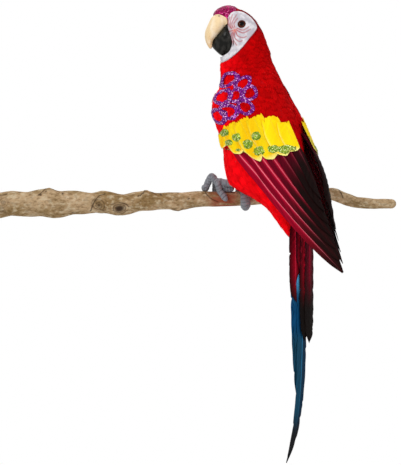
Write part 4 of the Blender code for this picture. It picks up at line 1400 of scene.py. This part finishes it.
LEFT_KNUCKLE = (-0.082, -0.006, 0.015)
LEFT_LEG_TOP = (-0.051, -0.02, 0.011)
LEFT_TOES = (
    (-0.098, -0.0998, (0.001, 0.0, 0.013), -8, 22, 1.0),
    (-0.068, -0.053, (0.003, -0.004, 0.004), 18, 26, 1.05),
    (-0.0755, -0.0645, (0.0, -0.005, 0.004), 44, 102, 0.9),
    (-0.083, -0.087, (0.0, 0.004, 0.006), -50, -114, 0.9),
)
RIGHT_KNUCKLE = (-0.036, 0.004, 0.009)
RIGHT_LEG_TOP = (-0.018, -0.02, 0.014)
RIGHT_TOES = (
    (-0.0352, -0.0348, (0.0, -0.003, 0.001), 60, 158, 1.4),
    (-0.03, -0.029, (0.003, 0.004, 0.003), -44, -104, 0.9),
    (-0.046, -0.048, (-0.003, 0.004, 0.003), -44, -108, 0.9),
)
TAPE_STEP = 0.0046


def round_branch(along, degrees, radius):
    core, wood = branch_at(along)
    reach = wood + radius + SEAT_GAP
    turn = math.radians(degrees)
    return core + Vector((0, -reach * math.sin(turn), reach * math.cos(turn)))


def toe_path(knuckle, toe):
    first_along, last_along, arch, first, last, girth = toe
    radius = TOE_RADIUS * girth
    radii = [radius] * 5 + [radius * CLAW_SHARE]
    points = []
    for step in range(4):
        share = step / 3
        along = BODY_ALONG + first_along + (last_along - first_along) * share
        points.append(round_branch(along, first + (last - first) * share, radii[step + 2]))
    return [knuckle, knuckle.lerp(points[0], 0.5) + Vector(arch)] + points, radii


def wrapped_wire(mesh, wrap, points, radii, start):
    """Adds a wire with tape wound round it, each turn lapping over the last."""
    sides, rows = 20, 22 * (len(points) - 1)
    table = [(*point, radius) for point, radius in zip(points, radii)]
    path = [along_rows(table, (len(points) - 1) * i / rows) for i in range(rows + 1)]
    spots = [Vector(row[:3]) for row in path]
    side_axis = Vector((0.3, 1.0, 0.2))
    length, loops = start, []
    for i, (spot, row) in enumerate(zip(spots, path)):
        heading = (spots[min(i + 1, rows)] - spots[max(i - 1, 0)]).normalized()
        side_axis = (side_axis - heading * side_axis.dot(heading)).normalized()
        other = heading.cross(side_axis)
        if i:
            length += (spot - spots[i - 1]).length
        to_end = (rows - i) / rows * len(points) / 1.2
        close = math.sqrt(1 - (1 - min(1.0, to_end)) ** 2) if to_end < 1 else 1.0
        loop = []
        for k in range(sides):
            angle = math.tau * k / sides
            lap = (length / TAPE_STEP - k / sides) % 1.0
            lump = 0.05 * noise.noise(spot * 260.0 + Vector((0, 0, angle)))
            reach = row[3] * close * (1.13 + 0.1 * lap + lump)
            place = spot + side_axis * reach * math.cos(angle) + other * reach * math.sin(angle)
            vertex = mesh.verts.new(place)
            vertex[wrap] = bell(min(lap, 1 - lap), 0.1) * 0.8
            loop.append(vertex)
        loops.append(loop)
    for first, second in zip(loops, loops[1:]):
        for k in range(sides):
            mesh.faces.new((first[k], first[(k + 1) % sides], second[(k + 1) % sides], second[k]))
    mesh.faces.new(loops[0][::-1])
    mesh.faces.new(loops[-1])


def make_feet():
    """Both feet: taped wire toes that close round the branch, wound at the knuckle."""
    finish = tape_finish()
    origin = Vector((BODY_ALONG, 0, PERCH))
    for name, knuckle, leg_top, toes in (
        ("left", LEFT_KNUCKLE, LEFT_LEG_TOP, LEFT_TOES),
        ("right", RIGHT_KNUCKLE, RIGHT_LEG_TOP, RIGHT_TOES),
    ):
        mesh = bmesh.new()
        wrap = mesh.verts.layers.float.new("wrap")
        knuckle, leg_top = origin + Vector(knuckle), origin + Vector(leg_top)
        beyond = knuckle + (leg_top - knuckle) * 1.1
        wrapped_wire(mesh, wrap, [knuckle, leg_top, beyond], [LEG_RADIUS * 1.05] * 3, 0.0)
        for number, toe in enumerate(toes):
            points, radii = toe_path(knuckle, toe)
            wrapped_wire(mesh, wrap, points, radii, 0.0017 * number)
        bmesh.ops.recalc_face_normals(mesh, faces=mesh.faces)
        piece = stood(name, bpy.data.meshes.new(name))
        mesh.to_mesh(piece.data)
        mesh.free()
        keep(piece, finish, f"{name}_taped_foot", "taped_wire", f"{name}_foot")


# ---- Branch

# Knots: along, angle from the top to the front, radius along, radius across, rise,
# darkness
KNOTS = (
    (0.012, 80, 0.007, 0.008, 0.0012, 0.55), (0.011, 116, 0.005, 0.0045, 0.001, 0.7),
    (0.0845, 12, 0.006, 0.0045, 0.0022, 0.0), (0.1635, 107, 0.0105, 0.01, 0.0016, 0.85),
    (0.164, 20, 0.006, 0.004, 0.001, 0.0), (0.196, 116, 0.0125, 0.0085, 0.001, 0.95),
    (0.238, 12, 0.006, 0.004, 0.0018, 0.0), (0.286, 170, 0.0065, 0.004, 0.0018, 0.1),
    (0.33, 70, 0.004, 0.006, 0.0008, 0.3), (0.539, 10, 0.006, 0.003, 0.0012, 0.2),
    (0.564, 15, 0.005, 0.003, 0.0012, 0.1), (0.06, -100, 0.008, 0.007, 0.0014, 0.6),
    (0.22, -70, 0.007, 0.006, 0.0012, 0.5), (0.47, -120, 0.006, 0.005, 0.001, 0.4),
)
# Slits and pits in the bark: along, angle, half length along, half length across
PITS = (
    (0.1059, 41, 0.0012, 0.0024), (0.2616, 32, 0.0012, 0.0024), (0.0379, 28, 0.0015, 0.0009),
    (0.071, 48, 0.0012, 0.0014), (0.079, 33, 0.0012, 0.001), (0.1928, 26, 0.0016, 0.001),
    (0.2259, 53, 0.001, 0.0014), (0.2338, 41, 0.0012, 0.0009), (0.1217, 137, 0.0016, 0.0009),
    (0.306, 80, 0.0012, 0.0009), (0.548, 60, 0.0012, 0.0009),
)
# Scars in the bark: distance along and angle from the top to the front
SCARS = (
    ((67, 50), (76, 25), (83, 3), (92, 22), (101, 38)),
    ((150, 147), (153, 115), (156, 90), (164, 59), (173, 38)),
    ((229, 56), (235, 25), (241, 4), (248, 28), (254, 47)),
    ((331, 4), (334, 45), (341, 85), (352, 112)), ((2, 48), (9, 40), (17, 30)),
    ((196, 84), (205, 92), (211, 110)), ((281, 150), (289, 160), (297, 152)),
    ((543, 20), (547, 55), (551, 95)), ((100, -60), (112, -85), (118, -110)),
    ((250, -50), (262, -80), (268, -120)), ((420, -40), (430, -80), (433, -125)),
)
MM_PER_DEGREE = 0.3
PIT_GROWTH = 1.35
# Where along the branch the painted shade between the feet, reddened by light reflected from the
# plumage, is centred
RED_SHADE_ALONG = 0.362


def bark_finish():
    made, tree, shader = new_finish("dry_bark", 0.85, Specular_IOR_Level=0.1)
    long_grain = group(tree, MOTTLE, Broad=42.0, Fine=300.0, Stretch=(0.5, 1.0, 1.0))
    blotches = group(tree, MOTTLE, Broad=175.0, Fine=700.0, Stretch=(0.7, 1.0, 1.0))
    broad, fine = long_grain["Broad"], long_grain["Fine"]
    sockets = {"Vector": place_in(tree, "Object"), "Scale": 170.0}
    specks = node(tree, "ShaderNodeTexVoronoi", sockets).outputs["Distance"]
    dots = times(tree, ramp(tree, specks, 0.2, 0.08), 0.7)
    painted(
        tree, shader, (0.245, 0.155, 0.065),
        (ramp(tree, broad, 0.36, 0.64), (0.44, 0.305, 0.175)),
        (times(tree, ramp(tree, blotches["Broad"], 0.48, 0.68), 0.66), (0.56, 0.46, 0.31)),
        (times(tree, ramp(tree, blotches["Broad"], 0.44, 0.32), 0.52), (0.12, 0.07, 0.02)),
        (times(tree, ramp(tree, fine, 0.5, 0.36), 0.4), (0.13, 0.075, 0.03)),
        (times(tree, dots, ramp(tree, broad, 0.47, 0.4)), (0.07, 0.035, 0.012)),
        # Painted shade between the feet, tinted by red light reflected from the plumage
        (told(tree, "painted_red_shade"), (0.27, 0.055, 0.028)),
        (told(tree, "knot"), (0.028, 0.014, 0.008)),
        (told(tree, "butt"), (0.6, 0.42, 0.22)),
        (told(tree, "growth"), (0.28, 0.16, 0.07)),
    )
    height = maths(tree, "ADD", fine, times(tree, blotches["Fine"], 0.5))
    bumped(tree, shader, height, 0.001, 0.8)
    return made


def knot_marks(spot, angle, radius, grain):
    """Relief and darkness of the knots at a place on the bark."""
    relief, knot = 0.0, 0.0
    for place, degrees, long, wide, rise, dark in KNOTS:
        dx = (spot - place) / long
        if abs(dx) > 2.2:
            continue
        away = math.hypot(dx, turned_by(angle, degrees) * radius / wide)
        dent = 0.75 * bell(away, 0.38) if dark else 0
        relief += rise * (bell(away, 1.0) - dent)
        if not dark:
            continue
        core_mark = bell(away, 0.3)
        if dark > 0.9:
            core_mark = 1 - smooth_step(0.45, 1.05, away + 0.25 * grain)
        lines = (0.5 + 0.5 * math.cos(away * 15 + 1.5 * grain)) ** 3
        fade = smooth_step(1.35, 0.9, away)
        ring = bell(away - 1.15, 0.12)
        ring *= 0.6 * (0.5 + 0.5 * math.sin(angle * 3 + spot * 200))
        knot = max(knot, dark * max(core_mark, 0.85 * lines * fade), ring)
    return relief, knot


def turned_by(angle, degrees):
    """How far round the branch a mark is from this angle, from -pi to pi."""
    return math.radians((math.degrees(angle) + degrees + 180) % 360 - 180)


def pitted(relief, knot, along, angle, radius):
    for place, degrees, long, wide in PITS:
        dx = (along - place) / (PIT_GROWTH * long)
        if abs(dx) > 2.5:
            continue
        dy = turned_by(angle, degrees) * radius / (PIT_GROWTH * wide)
        pit = math.exp(-(dx * dx + dy * dy))
        relief -= 0.0007 * pit
        knot = max(knot, 0.95 * pit)
    return relief, knot


def scarred(relief, knot, along, angle, grain, scars):
    """Old cuts in the bark, dark along the middle and raised beside it, in millimetres."""
    turn = ((180 - math.degrees(angle)) % 360 - 180) * MM_PER_DEGREE
    for line in scars:
        if line[0][0] - 3 < along * 1000 < line[-1][0] + 3:
            gap = line_distance((along * 1000, turn), line)
            scar = bell(gap, 0.85 + 0.5 * abs(grain))
            knot = max(knot, 0.9 * scar)
            relief += 0.0004 * bell(gap - 1.5, 1.2) - 0.0003 * scar
    return relief, knot


def make_branch():
    """Bark with knots, pits and grain, a sawn butt and a worn tip."""
    first, last = BRANCH_RINGS[0][0], BRANCH_RINGS[-1][0]
    butt_rows, tip_rows, rows, sides = 8, 10, 880, 96
    piece, places = grid_piece(sides, rows)
    scars = [smooth_line([(a, d * MM_PER_DEGREE) for a, d in line]) for line in SCARS]
    layers = {name: [] for name in ("knot", "painted_red_shade", "butt", "growth")}
    for vertex, (u, v) in zip(piece.data.vertices, places):
        angle = math.tau * u
        row = v * rows
        share, tip = 1.0, 0.0
        if row < butt_rows:
            share, along = row / butt_rows, first
        elif row > rows - tip_rows:
            turn = math.pi / 2 * (row - rows + tip_rows) / tip_rows
            share, tip = math.cos(turn), BRANCH_TIP_ROUND * math.sin(turn)
            along = last
        else:
            along = first + (last - first) * (row - butt_rows) / (rows - butt_rows - tip_rows)
        core, radius = branch_at(along)
        near_feet = bell(along - BODY_ALONG + FEET_AHEAD, 0.06)
        lump = math.sin(2 * angle + along * 70) * math.sin(along * 55 + angle)
        reach = radius - 0.0006
        if first < along < last:
            reach += 0.0025 * lump * (1 - near_feet) * radius / 0.02
        spot = Vector((along + tip, math.sin(angle) * 0.02, math.cos(angle) * 0.02))
        grain = uneven_at(spot.x * 28, spot.y * 110, spot.z * 110)
        cracks = uneven_at(spot.x * 90, spot.y * 420, spot.z * 420)
        calm = 1 - 0.75 * near_feet
        relief = (0.0009 * grain + 0.0004 * cracks) * calm * share
        more, knot = knot_marks(along + tip, angle, radius, grain)
        relief += more
        relief, knot = pitted(relief, knot, along, angle, radius)
        relief, knot = scarred(relief, knot, along, angle, grain, scars)
        if row < butt_rows:
            relief = 0.0
        reach = (reach + relief) * share
        vertex.co = (along + tip, reach * math.sin(angle), core.z + reach * math.cos(angle))
        # The bark between the feet gets painted shade, reddened as if by light reflected from the
        # plumage
        near = math.exp(-(((along - RED_SHADE_ALONG) / 0.022) ** 4))
        layers["knot"].append(knot)
        layers["painted_red_shade"].append(0.9 * near * smooth_step(-0.75, 0.1, grain + 0.3 * cracks))
        on_butt = 1.0 if row < butt_rows - 0.5 else 0.0
        layers["butt"].append(on_butt)
        layers["growth"].append(on_butt * 0.5 * (0.5 + 0.5 * math.cos(share * 40)) ** 2)
    for name, values in layers.items():
        give_numbers(piece, name, values)
    welded(piece, 0.00001, bpy.ops.mesh.normals_make_consistent)
    keep(piece, bark_finish(), "bark_branch", "bark", "branch")


# ---- Green glitter dabs on the yellow band

# Across the picture from the butt, height, half width and half height
DABS = (
    (0.3625, 0.1146, 0.0058, 0.005), (0.3813, 0.1065, 0.0058, 0.0054),
    (0.3694, 0.0986, 0.005, 0.004), (0.4117, 0.1084, 0.0064, 0.0056),
    (0.3989, 0.0956, 0.0066, 0.0064), (0.3839, 0.085, 0.0038, 0.0034),
    (0.4168, 0.0847, 0.007, 0.0064), (0.4392, 0.0877, 0.0076, 0.0054),
    (0.4603, 0.0867, 0.0118, 0.0066),
)
DAB_GROWTH = 1.2


def make_dabs():
    """Thin pats of green glitter, pressed on the coverts of both wings."""
    finish = glitter_finish(
        "green_glitter_flakes", Scale=620.0, Dark=(0.11, 0.21, 0.015),
        Mid=(0.3, 0.4, 0.03), Spark=(0.62, 0.7, 0.26), Sparks=0.2,
    )
    origin = bird_point(0, 0, 0)
    circles, spokes = 6, 22
    for side_name, side in SIDES:
        ground = tree_of(*[f"{side_name}_covert_{i + 1}" for i in range(len(COVERTS))])
        look = Vector((0, 1, 0))
        if side < 0:
            look -= BODY_LEFT * 2 * look.dot(BODY_LEFT)
        corners, faces = [], []
        for number, (x, z, wide, tall) in enumerate(DABS):
            base = len(corners)
            for spot in range((circles + 1) * spokes):
                share, angle = spot // spokes / circles, math.tau * (spot % spokes) / spokes
                edge = 1 + 0.22 * uneven_at(angle * 1.3, number * 4.0, 1.0)
                grow = DAB_GROWTH * edge * share
                aim = Vector((x + wide * grow * math.cos(angle), -0.4, 0))
                aim.z = z + tall * grow * math.sin(angle)
                if side < 0:
                    aim -= BODY_LEFT * 2 * (aim - origin).dot(BODY_LEFT)
                point, normal, _, _ = ground.ray_cast(aim, look)
                if point is None:
                    point, normal, _, _ = ground.find_nearest(aim + look * 0.35)
                if normal.dot(look) > 0:
                    normal = -normal
                grain = noise.noise(point * 1500.0)
                lift = 0.0004 + (1 - share**4) * (0.0008 + 0.0003 * grain)
                corners.append(point + normal * lift)
            for spot in range(circles * spokes):
                a = base + spot
                b = base + spot // spokes * spokes + (spot + 1) % spokes
                faces.append((a, b, b + spokes, a + spokes))
        piece = built("dabs", corners, faces)
        welded(piece, 0.00001)
        keep(piece, finish, f"{side_name}_green_dabs", None)


# ---- Stage, light and camera


def make_stage():
    bpy.ops.object.select_all(action="DESELECT")
    bpy.ops.mesh.primitive_plane_add(size=3.0, location=(0.32, -0.75, -0.52))
    floor = bpy.context.active_object
    floor.name = "floor"
    made, tree, shader = new_finish("pale_floor", 0.9)
    soft = group(tree, MOTTLE, Broad=3.0, Fine=80.0)
    painted(tree, shader, (0.86, 0.86, 0.86), (soft["Broad"], (0.84, 0.84, 0.84)))
    path = node(tree, "ShaderNodeLightPath").outputs
    lit = times(tree, path["Is Camera Ray"], 0.3)
    shader.inputs["Emission Color"].default_value = (1, 1, 1, 1)
    tree.links.new(lit, shader.inputs["Emission Strength"])
    floor.data.materials.append(made)


def make_world():
    world = bpy.data.worlds.new("studio")
    bpy.context.scene.world = world
    world.use_nodes = True
    tree = world.node_tree
    back = tree.nodes["Background"]
    path = node(tree, "ShaderNodeLightPath").outputs
    seen = maths(tree, "MAXIMUM", path["Is Camera Ray"], path["Is Transmission Ray"])
    seen = maths(tree, "MAXIMUM", seen, times(tree, path["Is Glossy Ray"], 0.3))
    level = node(tree, "ShaderNodeMapRange", {"Value": seen, "To Min": 0.68, "To Max": 1.0})
    tree.links.new(level.outputs["Result"], back.inputs["Strength"])
    back.inputs["Color"].default_value = (1, 1, 1, 1)


def add_lamp(name, place, aim, size, power):
    bpy.ops.object.select_all(action="DESELECT")
    bpy.ops.object.light_add(type="AREA", location=place)
    lamp = bpy.context.active_object
    lamp.name = name
    lamp.data.energy = power
    lamp.data.size = size
    lamp.rotation_euler = (Vector(aim) - Vector(place)).to_track_quat("-Z", "Y").to_euler()


def make_camera():
    """Level, square to the branch, from as far as a long lens would stand."""
    view_width, plane, distance = 0.7347, -0.05, 7.0
    data = bpy.data.cameras.new("camera")
    camera = stood("camera", data)
    camera.location = (0.3247, plane - distance, -0.0427)
    camera.rotation_euler = (math.radians(90), 0, 0)
    data.sensor_width = 36.0
    data.lens = 36.0 * distance / view_width
    data.clip_end = 50.0
    bpy.context.scene.camera = camera


make_stage()
make_world()
add_lamp("key", (-0.9, -1.7, 1.3), (0.38, -0.05, 0.1), 0.6, 19)
add_lamp("fill", (1.6, -1.6, 0.3), (0.38, -0.05, 0.0), 1.2, 8)
add_lamp("top", (0.4, 0.5, 1.6), (0.38, -0.05, 0.0), 0.9, 8)
make_camera()
make_down()
make_plumage()
for side_name, side in SIDES:
    make_flights(side_name, side)
    make_covert_plumes(side_name, side)
make_tail()
make_cheeks()
make_eyes()
make_horn("cream_upper_horn", UPPER_HORN, cream_horn_finish(), "horn", "upper_beak")
make_horn("black_lower_horn", LOWER_HORN, black_horn_finish(), "black_horn", "lower_beak")
make_cap()
make_rings()
make_feet()
make_branch()
make_dabs()
bpy.context.scene.view_settings.view_transform = "Standard"
